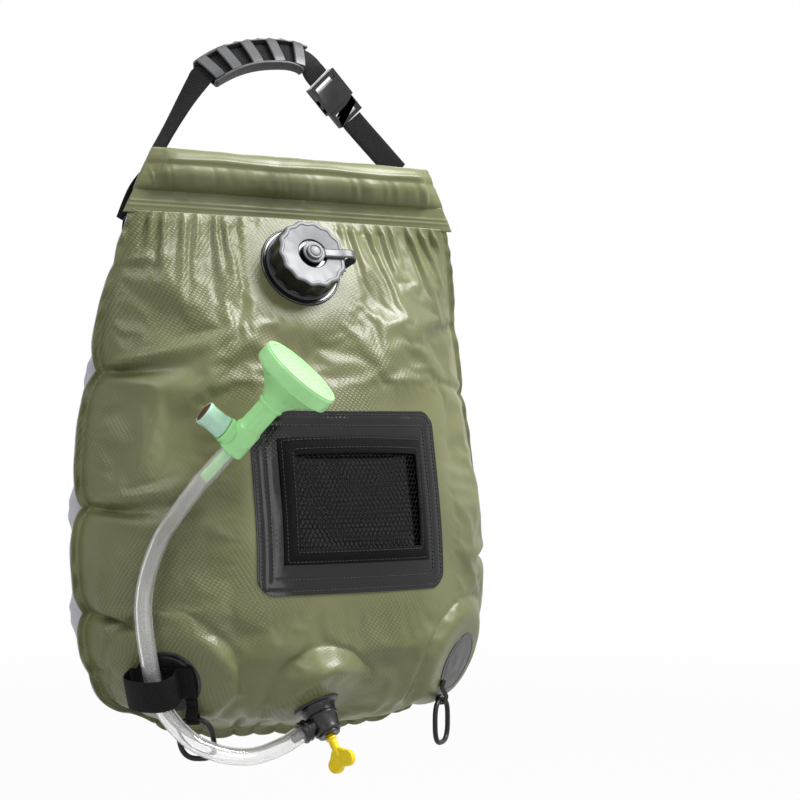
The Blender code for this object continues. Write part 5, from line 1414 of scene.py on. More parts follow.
def stitches(name, centre, line, lift, side, length, material, radius=0.00032):
    """A row of stitches along the line, each a short piece of thread that dips at both ends."""
    verts = []
    faces = []
    places = spread(line, length)
    for a, b in zip(places, places[1:]):
        start = a + (b - a) * 0.13
        stop = a + (b - a) * 0.87
        rings = []
        for t in (0, 0.18, 0.5, 0.82, 1):
            x, z = start + (stop - start) * t
            height = lift(np.array([x]), np.array([z]))[0] + radius * (
                2.6 * math.sin(math.pi * (0.12 + 0.76 * t)) - 0.9
            )
            point, normal = over_panel(np.array([centre[0] + x]), np.array([centre[1] + z]), side, height)
            rings.append((Vector(point[0]), Vector(normal[0]), t))
        run = (rings[-1][0] - rings[0][0]).normalized()
        base = len(verts)
        for point, normal, t in rings:
            across = run.cross(normal).normalized()
            thin = radius * (0.75 if t in (0, 1) else 1)
            for k in range(6):
                angle = math.pi * k / 3
                verts.append(point + across * thin * 1.2 * math.cos(angle) + normal * thin * math.sin(angle))
        faces += strip_faces(5, 6, False, True, base)
        faces += [[base + k for k in range(6)], [base + 24 + k for k in range(6)]]
    return shell(name, verts, faces, material, 60)


PATCH = (0.018, -0.342)
PATCH_HALF = (0.080, 0.0675)
POCKET = (0.020, -0.3415)
POCKET_HALF = (0.062, 0.046)
POCKET_HEM = 0.011
POCKET_TOP_HEM = 0.013
HEM_THICKNESS = 0.0012
PATCH_LIFT = 0.0008
PATCH_THICKNESS = 0.0010
POCKET_BASE = PATCH_LIFT + PATCH_THICKNESS + 0.0005


def pouch(x, z):
    sideways = np.maximum(0.0, 1 - (x / POCKET_HALF[0]) ** 2)
    upwards = np.clip((z + POCKET_HALF[1]) / (2 * POCKET_HALF[1]), 0, 1)
    return 0.011 * sideways * np.sin(math.pi / 2 * upwards) ** 0.8


def over_net(x, z):
    inwards = np.minimum(POCKET_HALF[0] - np.abs(x), z + POCKET_HALF[1])
    return 0.0016 * np.clip(2 * inwards / POCKET_HEM, 0, 1)


def patch_thickness(x, z):
    inwards = np.minimum(PATCH_HALF[0] - np.abs(x), PATCH_HALF[1] - np.abs(z))
    seams = sum(np.exp(-(((inwards - at) / 0.0013) ** 2)) for at in (0.0030, 0.0112))
    swell = np.exp(-(((inwards - 0.0070) / 0.0030) ** 2))
    waves = np.sin(61 * x + 2 * np.sin(37 * z)) * np.sin(53 * z + 1) + 0.6 * np.sin(113 * x - 97 * z)
    return PATCH_THICKNESS + 0.00016 * swell - 0.00038 * seams + 0.00011 * waves


class SHOWER_OT_pocket(bpy.types.Operator):
    """Make the glossy patch with its two seams, the net pocket and its binding"""

    bl_idname = "shower.pocket"
    bl_label = "Net pocket"

    def execute(self, context):
        sizes = context.scene.shower_sizes
        xs = np.linspace(-PATCH_HALF[0], PATCH_HALF[0], 121)
        zs = np.linspace(-PATCH_HALF[1], PATCH_HALF[1], 103)
        patch = sheet_over(
            "pocket_film", PATCH, xs, zs, 0.013, "front", PATCH_LIFT, patch_thickness, finish("black film")
        )
        flat_x, flat_z = rounded(*np.meshgrid(xs, zs), *PATCH_HALF, 0.013)
        wide_patch, tall_patch, patch_area = laid_out(panel_points(PATCH[0] + flat_x, PATCH[1] + flat_z, "front"))
        settle(bevel(patch, 0.0003), "bag", "pocket_patch", "pocket_patch")

        def patch_top(x, z):
            return PATCH_LIFT + patch_thickness(x, z)

        rows = []
        for k, inset in enumerate((0.0030, 0.0112)):
            line = rounded_loop(PATCH_HALF[0] - inset, PATCH_HALF[1] - inset, max(0.013 - inset, 0.004), 0.0008)
            rows.append(stitches(f"row_{k}", PATCH, line, patch_top, "front", sizes.stitch, finish("thread")))
        seams = settle(joined("patch_stitches", rows), "bag", "pocket_patch")

        window = (POCKET_HALF[0] - POCKET_HEM, -POCKET_HALF[1] + POCKET_HEM, POCKET_HALF[1] - POCKET_TOP_HEM)
        wide = sizes.net_pitch * 1.09
        tall = sizes.net_pitch
        verts = []
        faces = []
        known = {}
        for j in range(-1, round((window[2] - window[1]) / tall) + 2):
            for i in range(-round(window[0] / wide) - 1, round(window[0] / wide) + 2):
                x = (i + 0.5 * (j % 2)) * wide
                z = window[1] + j * tall
                if abs(x) > window[0] + 0.0015 or not window[1] - 0.0015 < z < window[2] + 0.0015:
                    continue
                ring = []
                for dx, dz in ((0, 2 / 3), (0.5, 1 / 3), (0.5, -1 / 3), (0, -2 / 3), (-0.5, -1 / 3), (-0.5, 1 / 3)):
                    key = (round((x + dx * wide) * 1e5), round((z + dz * tall) * 1e5))
                    if key not in known:
                        known[key] = len(verts)
                        verts.append((x + dx * wide, z + dz * tall))
                    ring.append(known[key])
                faces.append(ring)
        flat = np.array(verts)
        lift = POCKET_BASE + 0.0004 + pouch(flat[:, 0], flat[:, 1])
        points, _ = over_panel(POCKET[0] + flat[:, 0], POCKET[1] + flat[:, 1], "front", lift)
        net = shell("pocket_net", points, faces, finish("net"), 180)
        wires = net.modifiers.new("Strands", "WIREFRAME")
        wires.thickness = 0.00085
        wires.use_even_offset = False
        wires.use_boundary = True
        settle(net, "bag", "pocket_mesh", "pocket_mesh")

        stops_x = (-POCKET_HALF[0], -window[0], window[0], POCKET_HALF[0])
        stops_z = (-POCKET_HALF[1], window[1], window[2], POCKET_HALF[1])
        cells = 8
        xs = np.concatenate(
            [
                np.linspace(a, b, n + 1)[:-1] for a, b, n in zip(stops_x, stops_x[1:], (cells, 52, cells))
            ] + [[stops_x[-1]]]
        )
        zs = np.concatenate(
            [
                np.linspace(a, b, n + 1)[:-1] for a, b, n in zip(stops_z, stops_z[1:], (cells, 36, cells))
            ] + [[stops_z[-1]]]
        )

        def hem_thickness(x, z):
            side = (POCKET_HALF[0] - np.abs(x)) / POCKET_HEM
            low = (z + POCKET_HALF[1]) / POCKET_HEM
            high = (POCKET_HALF[1] - z) / POCKET_TOP_HEM
            q = 2 * np.minimum(np.minimum(side, low), high) - 1
            q = np.clip(q, -1, 1)
            mitre = np.exp(-((np.minimum(np.abs(side - low), np.abs(side - high)) / 0.07) ** 2))
            return HEM_THICKNESS * (
                0.5 + 0.5 * np.sqrt(np.maximum(0, 1 - q**6))
            ) - 0.00030 * mitre - 0.0002 * np.exp(-((np.abs(q) - 0.62) / 0.13) ** 2)

        hem = sheet_over(
            "pocket_binding", POCKET, xs, zs, 0, "front", lambda x, z: POCKET_BASE + over_net(x, z) + pouch(x, z),
            hem_thickness, finish("tape"), lambda i, j: cells <= i < cells + 52 and cells <= j < cells + 36,
        )
        settle(hem, "bag", "pocket_hem", "pocket_hem")
        rows = []
        for k, inset in enumerate((0.0021, 0.0089)):
            line = rounded_loop(POCKET_HALF[0] - inset, POCKET_HALF[1] - inset, 0.0006, 0.0008)
            top = lambda x, z: POCKET_BASE + over_net(x, z) + pouch(x, z) + hem_thickness(x, z)
            rows.append(stitches(f"row_{k}", POCKET, line, top, "front", sizes.stitch, finish("thread"), 0.00026))
        sewn = settle(joined("binding_stitches", rows), "bag", "pocket_hem")
        return {"FINISHED"}


# The roll over the rod, and the weld band under it


ROLL_Z = -0.0945
ROLL_HEIGHT = 0.033
ROLL_DEPTH = 0.026
ROLL_HALF_LENGTH = 0.118


def roll_half(z):
    return ROLL_HALF_LENGTH + 0.48 * (ROLL_Z + ROLL_HEIGHT / 2 - z)


def seeded_folds(x, seed, count, low, high, narrow, wide):
    """Fine creases at seeded places, from -1 to 1."""
    dice = np.random.default_rng(seed)
    found = np.zeros_like(x)
    for _ in range(count):
        at = dice.uniform(low, high)
        width = dice.uniform(narrow, wide)
        height = dice.uniform(-1, 1)
        found += height * np.exp(-(((x - at) / width) ** 2))
    return np.clip(found, -1.3, 1.3)


class SHOWER_OT_roll(bpy.types.Operator):
    """Make the film sleeve over the rod, with its creases and the welded band under it"""

    bl_idname = "shower.roll"
    bl_label = "Top roll"

    def execute(self, context):
        material = finish("olive film")
        stations = 170
        ring = 64
        shares = np.sin(math.pi / 2 * np.linspace(-1, 1, stations + 1))
        shares = 0.5 * shares + 0.5 * np.linspace(-1, 1, stations + 1)
        angles = np.linspace(0, 2 * math.pi, ring, endpoint=False)
        s, a = np.meshgrid(shares, angles, indexing="ij")
        t = np.clip((1 - np.abs(s)) / 0.16, 0, 1)
        tube = np.clip((0.925 - np.abs(s) + 0.03 * np.sin(a)) / 0.035, 0, 1)
        tube = tube * tube * (3 - 2 * tube)
        depth = 0.007 + (ROLL_DEPTH - 0.007) * np.sin(math.pi / 2 * t) * (0.62 + 0.38 * tube)
        up = np.sign(np.sin(a)) * np.abs(np.sin(a)) ** 0.86
        out = np.sign(np.cos(a)) * np.abs(np.cos(a)) ** 0.80
        z = ROLL_Z + (ROLL_HEIGHT / 2 - 0.0003) * up
        x = s * roll_half(z)
        front = np.clip(-np.cos(a), 0, 1)
        low = np.clip((0.25 - up) / 0.5, 0, 1)
        slanted = x + 0.35 * (z - ROLL_Z)
        creases = seeded_folds(slanted, 11, 70, -0.13, 0.13, 0.0009, 0.0035)
        broad = seeded_folds(x - 0.5 * (z - ROLL_Z), 5, 16, -0.13, 0.13, 0.006, 0.018)
        rise = 0.0010 * creases * low * (0.35 + 0.65 * front) + 0.0012 * broad * (0.4 + 0.6 * low)
        rise += 0.0013 * np.exp(
            -(((up - 0.42 - 0.05 * np.sin(9 * s)) / 0.10) ** 2)
        ) * front * np.clip((0.93 - np.abs(s)) / 0.06, 0, 1)
        rise -= 0.0013 * np.exp(-(((up - 0.20) / 0.12) ** 2)) * front
        end_folds = seeded_folds(z, 23, 14, -0.112, -0.078, 0.0008, 0.0025)
        rise += 0.0006 * end_folds * np.clip((np.abs(s) - 0.84) / 0.10, 0, 1)
        rise = np.minimum(rise, 0.0016)
        tuck = 1 - 0.25 * np.clip((-0.25 - up) / 0.75, 0, 1)
        y = SEAM_TOP_Y + (depth / 2 - 0.0006) * out * tuck + rise * np.cos(a)
        z = z + rise * np.sin(a) * np.where(np.sin(a) < 0, 0.3, 1)
        points = np.stack([x, y, z], -1)
        sleeve = swept("sleeve", points.tolist(), material, 180)
        layer = np.stack([x, z, np.ones_like(x)], -1).reshape(-1, 3)
        if len(sleeve.data.vertices) == len(layer):
            keep_measure(sleeve, "film_m", layer)

        top = ROLL_Z - ROLL_HEIGHT / 2 + 0.0020
        bottom = BAG_TOP_Z - 0.0016
        heights = np.concatenate([np.linspace(top, bottom, 26)])
        xs = np.linspace(-1, 1, 161)
        xx, zz = np.meshgrid(xs, heights)
        x = xx * (roll_half(zz) - 0.0006)
        welds = sum(np.exp(-(((zz - at) / 0.0008) ** 2)) for at in (-0.1190, -0.1222))
        shallow = seeded_folds(
            x + 0.3 * zz, 31, 60, -0.14, 0.14, 0.0012, 0.0040
        ) * np.clip((zz + 0.1185) / 0.004, 0, 1)
        thick = 0.0012 + 0.00045 * welds + 0.0004 * shallow + 0.0003 * np.sin(60 * x)
        verts = []
        for hand in (-1, 1):
            verts += np.stack(
                [x, SEAM_TOP_Y + hand * np.clip(thick, 0.0008, 0.0018), zz], -1
            ).reshape(-1, 3).tolist()
        count = len(verts) // 2
        rows, columns = xx.shape
        faces = strip_faces(rows, columns) + strip_faces(rows, columns, offset=count)
        rim = [i for i in range(columns)] + [j * columns + columns - 1 for j in range(1, rows)]
        rim += [
            (rows - 1) * columns + i for i in range(columns - 2, -1, -1)
        ] + [j * columns for j in range(rows - 2, 0, -1)]
        faces += [(p, q, q + count, p + count) for p, q in zip(rim, rim[1:] + rim[:1])]
        weld = shell("weld_band", verts, faces, material, 180)
        if len(weld.data.vertices) == len(verts):
            keep_measure(weld, "film_m", [(p[0], p[2], 1) for p in verts])
        settle(joined("top_roll", [sleeve, weld]), "bag", "top_sleeve", "top_sleeve")
        return {"FINISHED"}


# The filler


FILL_FRAME = axes(Vector(FILL_PAD[0]) + Vector(FILL_PAD[1]) * (FILM + GAP / 2), FILL_PAD[1], X)
FILL_BORE = 0.0200
NECK_RADIUS = 0.0250
NECK_HEIGHT = 0.0200
CAP_RADIUS = 0.0285
CAP_BASE = 0.0052
CAP_TOP = 0.0236
CAP_LOBES = 14


def two_toned(piece, second, test):
    """Gives the faces that pass the test a second material."""
    piece.data.materials.append(second)
    for face in piece.data.polygons:
        if test(face):
            face.material_index = len(piece.data.materials) - 1


class SHOWER_OT_filler(bpy.types.Operator):
    """Make the filler neck, its waved cap and the tether"""

    bl_idname = "shower.filler"
    bl_label = "Filler"

    def execute(self, context):
        place = FILL_FRAME
        thread = []
        for k in range(2):
            z = NECK_HEIGHT - 0.0040 * (2 - k)
            thread += [(NECK_RADIUS, z - 0.0011), (NECK_RADIUS + 0.0011, z), (NECK_RADIUS, z + 0.0011)]
        profile = [
            (FILL_BORE, GAP), (0.0330, GAP), (0.0330, 0.0017), (0.0322, 0.0023), (0.0312, 0.0019),
            (NECK_RADIUS, 0.0021)
        ]
        profile += thread + [(NECK_RADIUS, NECK_HEIGHT), (FILL_BORE, NECK_HEIGHT)]
        neck = turned("filler_neck", profile, place, finish("cap side"), 128, 0.0004, bored=True)
        settle(neck, "bag", "fill_neck", "fill_neck")

        low = 0.0026
        high = low + 0.0020
        ring = turned(
            "collar_ring", [(NECK_RADIUS + GAP, low), (0.0295, low), (0.0295, high), (NECK_RADIUS + GAP, high)],
            place, finish("tether"), 96, 0.0004, bored=True
        )
        lug = swept(
            "collar_lug",
            [
                [(x, w, z) for w, z in ((-0.0035, low), (0.0035, low), (0.0035, high), (-0.0035, high))]
                for x in (0.0286, 0.0330, 0.0375)
            ], finish("tether"), 35
        )
        lug.data.transform(place)
        settle(
            joined("tether_collar_moulding", [ring, bevel(lug, 0.0004)]), "bag", "tether_collar", "tether_collar"
        )

        deck = CAP_TOP - 0.0022

        def lobes(radius, height, angle):
            on_top = radius > 0.0235 and height > CAP_TOP - 0.0010
            if not on_top and radius < 0.0270 or height > CAP_TOP + 0.0001:
                return 0
            share = 0.6 if height < CAP_BASE + 0.001 else 1
            dip = -0.0014 * share * (0.5 - 0.5 * math.cos(CAP_LOBES * angle)) ** 0.8
            return dip - 0.00012 * (
                0.5 - 0.5 * math.cos(CAP_LOBES * 10 * angle)
            ) * (CAP_BASE + 0.002 < height < CAP_TOP - 0.003)

        profile = [
            (0, deck), (0.0266, deck), (0.0266, CAP_BASE), (0.0280, CAP_BASE), (CAP_RADIUS, CAP_BASE + 0.0008)
        ]
        profile += [(CAP_RADIUS, h) for h in (0.0090, 0.0130, 0.0170, 0.0205)]
        profile += [
            (CAP_RADIUS - 0.0002, CAP_TOP - 0.0012), (CAP_RADIUS - 0.0008, CAP_TOP - 0.0003),
            (CAP_RADIUS - 0.0020, CAP_TOP)
        ]
        profile += [
            (0.0252, CAP_TOP), (0.0246, CAP_TOP - 0.0005), (0.0122, CAP_TOP - 0.0005), (0.0116, CAP_TOP - 0.0016),
            (0.0054, CAP_TOP - 0.0016), (0.0050, CAP_TOP - 0.0010)
        ]
        profile += [
            (0.0048, CAP_TOP), (0.0048, CAP_TOP + 0.0022), (0.0064, CAP_TOP + 0.0022), (0.0064, CAP_TOP + 0.0034),
            (0.0058, CAP_TOP + 0.0040), (0.0049, CAP_TOP + 0.0040), (0.0046, CAP_TOP + 0.0034),
            (0.0041, CAP_TOP + 0.0034), (0.0038, CAP_TOP + 0.0040), (0, CAP_TOP + 0.0042)
        ]
        cap = turned("filler_cap", profile, place, finish("cap side"), 270, 0.0002, lobes)
        back = place.inverted()
        # The cap's top faces take the grey painted sheen.
        two_toned(cap, finish("cap top painted sheen"), lambda face: (back @ face.center).z > CAP_TOP - 0.0008)
        settle(cap, "cap", "fill_cap", "fill_cap")

        low = CAP_TOP + GAP
        high = low + 0.0016
        mid = (low + high) / 2
        foot_z = 0.0020 + 3 * GAP + 0.0020 + 0.0008
        eye = turned(
            "tether_eye", [(0.0051, low), (0.0090, low), (0.0090, high), (0.0051, high)], place, finish("tether"),
            72, 0.0004, bored=True
        )
        path = [(0.0084, mid), (CAP_RADIUS * 0.7, mid), (CAP_RADIUS, mid + 0.0006)]
        path += [
            (0.0375 + 0.0090 * out, mid - 0.0006 - 0.0090 * down) for out, down in ((-0.35, 0), (0, 0.5), (0, 1))
        ]
        path += [(0.0369, (mid + foot_z) / 2), (0.0325 + 0.00225, foot_z + 0.00225), (0.0325, foot_z)]
        points = through([(x, 0, z) for x, z in path], 8)
        strip = band("tether_strip", points, [Y] * len(points), 0.0070, 0.0016, finish("tether"), pitch=0.0008)
        strip.data.transform(place)
        settle(joined("cap_tether_moulding", [eye, strip]), "tether", "cap_tether", "cap_tether")
        return {"FINISHED"}


# The lower corners


HOSE_STRAP_RUN = (0.76, -0.65, 0.04)
PATCH_TOP = GAP + 0.0012


def corner_frame(where):
    centre, normal = Vector(where[0]), Vector(where[1])
    x, y, z = HOSE_STRAP_RUN
    return axes(centre + normal * FILM, normal, (x, y, z) if where is LEFT_PAD else (x, -y, -z))


def ring_moulding(name, place, body, node):
    sections = []
    for k in range(72):
        angle = 2 * math.pi * k / 72

        def spot(a):
            across = math.copysign(abs(math.sin(a)) ** 0.72, math.sin(a))
            up = math.copysign(abs(math.cos(a)) ** 0.72, math.cos(a))
            return Vector((0.0130 * across, 0, 0.0165 * (up - 1)))

        here = spot(angle)
        run = (spot(angle + 0.01) - spot(angle - 0.01)).normalized()
        side = run.cross(Y)
        sections.append(
            [
                here + (side * math.cos(b) + Y * math.sin(b)) * 0.0020
                for b in np.linspace(0, 2 * math.pi, 12, endpoint=False)
            ]
        )
    piece = swept(name, sections, finish("acetal"), 60, closed=True)
    piece.data.transform(place)
    settle(piece, body, node, node)


class SHOWER_OT_corners(bpy.types.Operator):
    """Make the round patches, the hose strap with its flap, and the tie rings on their tabs"""

    bl_idname = "shower.corners"
    bl_label = "Lower corners"

    def execute(self, context):
        for name, where in (("hose_patch", LEFT_PAD), ("corner_patch", RIGHT_PAD)):
            profile = [
                (0, GAP), (0.0250, GAP), (0.0250, 0.0011), (0.0245, PATCH_TOP), (0.0226, PATCH_TOP),
                (0.0220, 0.0012), (0.0206, 0.0012), (0.0200, 0.0014), (0, 0.0014)
            ]
            disc = turned(name + "_film", profile, corner_frame(where), finish("patch film"), 96, 0.0002)
            settle(disc, "bag", name, name)

        place = corner_frame(LEFT_PAD)
        thick = 0.0013
        fold = -0.027
        right_end = 0.021
        base_low = PATCH_TOP + GAP
        base_top = base_low + thick
        middle = base_low + thick / 2
        base = band(
            "strap_base", [Vector((x, 0, middle)) for x in (fold, 0, right_end)], [Y] * 3, 0.025, thick,
            finish("webbing")
        )
        base.data.transform(place)
        settle(base, "bag", "hose_strap_base", "hose_strap_base")

        over = 2 * GAP + 0.0012 + GAP + thick + 2 * HOSE_RADIUS + 0.0052 + thick / 2
        low = base_top + GAP + thick / 2
        rise = over - low
        left = -0.0070 - HOSE_RADIUS
        right = -0.0070 + HOSE_RADIUS + 0.0076 + thick
        first, second, third = [low + rise * share for share in (0.33, 0.72, 0.62)]
        path = [
            (fold + thick / 2, low), (fold - thick / 2, first), (fold + thick, second), (left, over),
            (right - 0.0076, over), (right, third), (right + thick, low + thick), (right + 3 * thick, low),
            (right_end, low),
        ]
        points = through([(x, 0, z) for x, z in path], 10)
        flap = band(
            "strap_flap", points, [Y] * len(points), 0.025, thick, finish("webbing"), 0.00030, 0.0022, 0.00036,
            (0.36, 0.80)
        )
        flap.data.transform(place)
        settle(flap, "hose_flap", "hose_strap_flap", "hose_strap_flap")

        for hand, where in (("left", LEFT_PAD), ("right", RIGHT_PAD)):
            place = corner_frame(where)
            side = 1 if hand == "left" else -1
            wrap = 0.0020 + 3 * GAP + 0.0005
            start = PATCH_TOP + GAP + 0.0005
            middle = -0.0145 * 0.62 - 0.0290 * 0.38
            rows = [(-0.0145, start), (middle, start + GAP)]
            turns = ((1.2, 0.8), (0, 1), (-0.72, 0.72), (-1, 0), (-0.72, -0.72), (0, -1), (0.9, -0.95))
            rows += [(wrap * y - 0.0290, wrap * z + 0.0060) for y, z in turns]
            points = [(side * 0.016, y, z) for y, z in rows]
            points = [Vector(p) for p in points]
            fine = []
            for a, b in zip(points, points[1:]):
                fine += [a, a.lerp(b, 0.5)]
            fine.append(points[-1])
            tab = band(
                f"ring_tab_{hand}_web", fine, [X] * len(fine), 0.009, 0.0010, finish("webbing"), pitch=0.0006
            )
            tab.data.transform(place)
            settle(tab, "bag", f"ring_tab_{hand}", f"ring_tab_{hand}")
            pivot = place @ Vector((side * 0.016, -0.0290, 0.0060))
            up = place.to_3x3() @ Y if hand == "left" else Z
            ring_moulding(
                f"tie_ring_{hand}_moulding", axes(pivot, up, place.to_3x3() @ X), f"ring_{hand}", f"tie_ring_{hand}"
            )
        return {"FINISHED"}


# The outlet and its tap


class SHOWER_OT_outlet(bpy.types.Operator):
    """Make the outlet cone, its nipple, the collar on the hose, the plug and the yellow key"""

    bl_idname = "shower.outlet"
    bl_label = "Outlet and tap"

    def execute(self, context):
        centre, normal = Vector(OUTLET_PAD[0]), Vector(OUTLET_PAD[1])
        place = axes(centre + normal * FILM, normal, NIPPLE_RUN)
        nipple = axes(NIPPLE_PLACE, NIPPLE_RUN, X)
        cone_end = 0.0240
        top = cone_end + 0.0018

        def flange_lobes(radius, height, angle):
            return 0.0013 * math.cos(3 * angle + 0.6) if radius > 0.0150 else 0

        cone = turned("cone", [
            (0.0056, GAP), (0.0170, GAP), (0.0175, 0.0010), (0.0170, 0.0022), (0.0140, 0.0026),
            (0.0131, 0.0040), (0.0124, 0.0090), (0.0128, 0.0098), (0.0128, 0.0112), (0.0119, 0.0120),
            (0.0103, 0.0200), (0.0106, 0.0208), (0.0104, 0.0228), (0.0092, cone_end), (0.0056, cone_end),
        ], place, finish("outlet"), 96, 0.0003, flange_lobes, True)
        stub = turned("stub", [
            (0.0024, 0.0080), (HOSE_RADIUS, 0.0080), (HOSE_RADIUS, NIPPLE_LENGTH), (0.0038, NIPPLE_LENGTH),
            (0.0038, NIPPLE_LENGTH + 0.0035), (0.0040, NIPPLE_LENGTH + 0.0040),
            (0.0036, NIPPLE_LENGTH + 0.0085), (0.0040, NIPPLE_LENGTH + 0.0090),
            (0.0034, NIPPLE_LENGTH + TAP_BARB), (0.0024, NIPPLE_LENGTH + TAP_BARB),
        ], nipple, finish("outlet"), 48, 0.0002, bored=True)
        settle(joined("outlet_moulding", [cone, stub]), "bag", "outlet_body", "outlet_body")

        low = NIPPLE_LENGTH - 0.000975
        bore = HOSE_RADIUS + GAP
        collar = turned("hose_collar_moulding", [
            (bore, low), (0.0081, low), (0.0086, low + 0.0006), (0.0086, low + 0.0020), (0.0081, low + 0.0025),
            (0.0081, low + 0.0040), (0.0086, low + 0.0045), (0.0086, low + 0.0059), (0.0081, low + 0.0065),
            (bore, low + 0.0065),
        ], nipple, finish("outlet"), 64, 0.0002, bored=True)
        settle(collar, "bag", "hose_collar", "hose_collar")

        plug = turned("plug_moulding", [
            (0, 0.0040), (0.0051, 0.0040), (0.0051, cone_end + GAP), (0.0086, cone_end + GAP),
            (0.0084, top - 0.0002), (0.0078, top), (0.0040, top), (0.0040, top - 0.0012),
            (0.0033, top - 0.0012), (0.0033, top - 0.0060), (0, top - 0.0060),
        ], place, finish("outlet"), 64, 0.0002)
        settle(plug, "tap", "tap_plug", "tap_plug")

        key_place = axes(centre + normal * FILM, normal, (0.42, -0.71, 0.57))
        lobe = 0.0062
        neck = top + 0.0280 - 2 * lobe - 0.0040
        lobe_z = top + 0.0280 - lobe
        outline = []
        for hand in (1, -1):
            arc = [
                (hand * (0.0055 + lobe * math.cos(b)), lobe_z + lobe * math.sin(b))
                for b in np.radians(np.linspace(-70, 138, 25))
            ]
            outline += arc if hand > 0 else arc[::-1]
        outline = [(0.0036, neck)] + outline + [(-0.0036, neck)]
        count = len(outline)
        verts = [(x, y, z) for y in (-0.0025, 0.0025) for x, z in outline]
        faces = [list(range(count)), list(range(count, 2 * count))]
        faces += [(k, (k + 1) % count, count + (k + 1) % count, count + k) for k in range(count)]
        blade = bevel(shell("blade", verts, faces, finish("yellow"), 35), 0.0009, 3)
        blade.data.transform(key_place)
        start = top - 0.0060 + GAP
        shaft = turned("shaft", [
            (0, start), (0.0030, start), (0.0030, top + 0.0012), (0.0042, top + 0.0018), (0.0042, top + 0.0034),
            (0.0032, top + 0.0042), (0.0032, neck + 0.0050), (0.0020, neck + 0.0066), (0, neck + 0.0070),
        ], key_place, finish("yellow"), 48, 0.0003)
        dents = []
        for hand in (-1, 1):
            for face in (-1, 1):
                spot = key_place @ Matrix.Translation(
                    (hand * 0.0055, face * 0.0024, lobe_z)
                ) @ Matrix.Rotation(-face * math.pi / 2, 4, "X")
                dents.append(
                    turned(
                        "dent", [(0.0030, 0), (0.0036, 0), (0.0036, 0.0004), (0.0030, 0.0004)], spot,
                        finish("yellow"), 40, 0.00015, bored=True
                    )
                )
        settle(joined("tap_key_moulding", [blade, shaft] + dents), "tap", "tap_key", "tap_key")
        return {"FINISHED"}


# The shower head


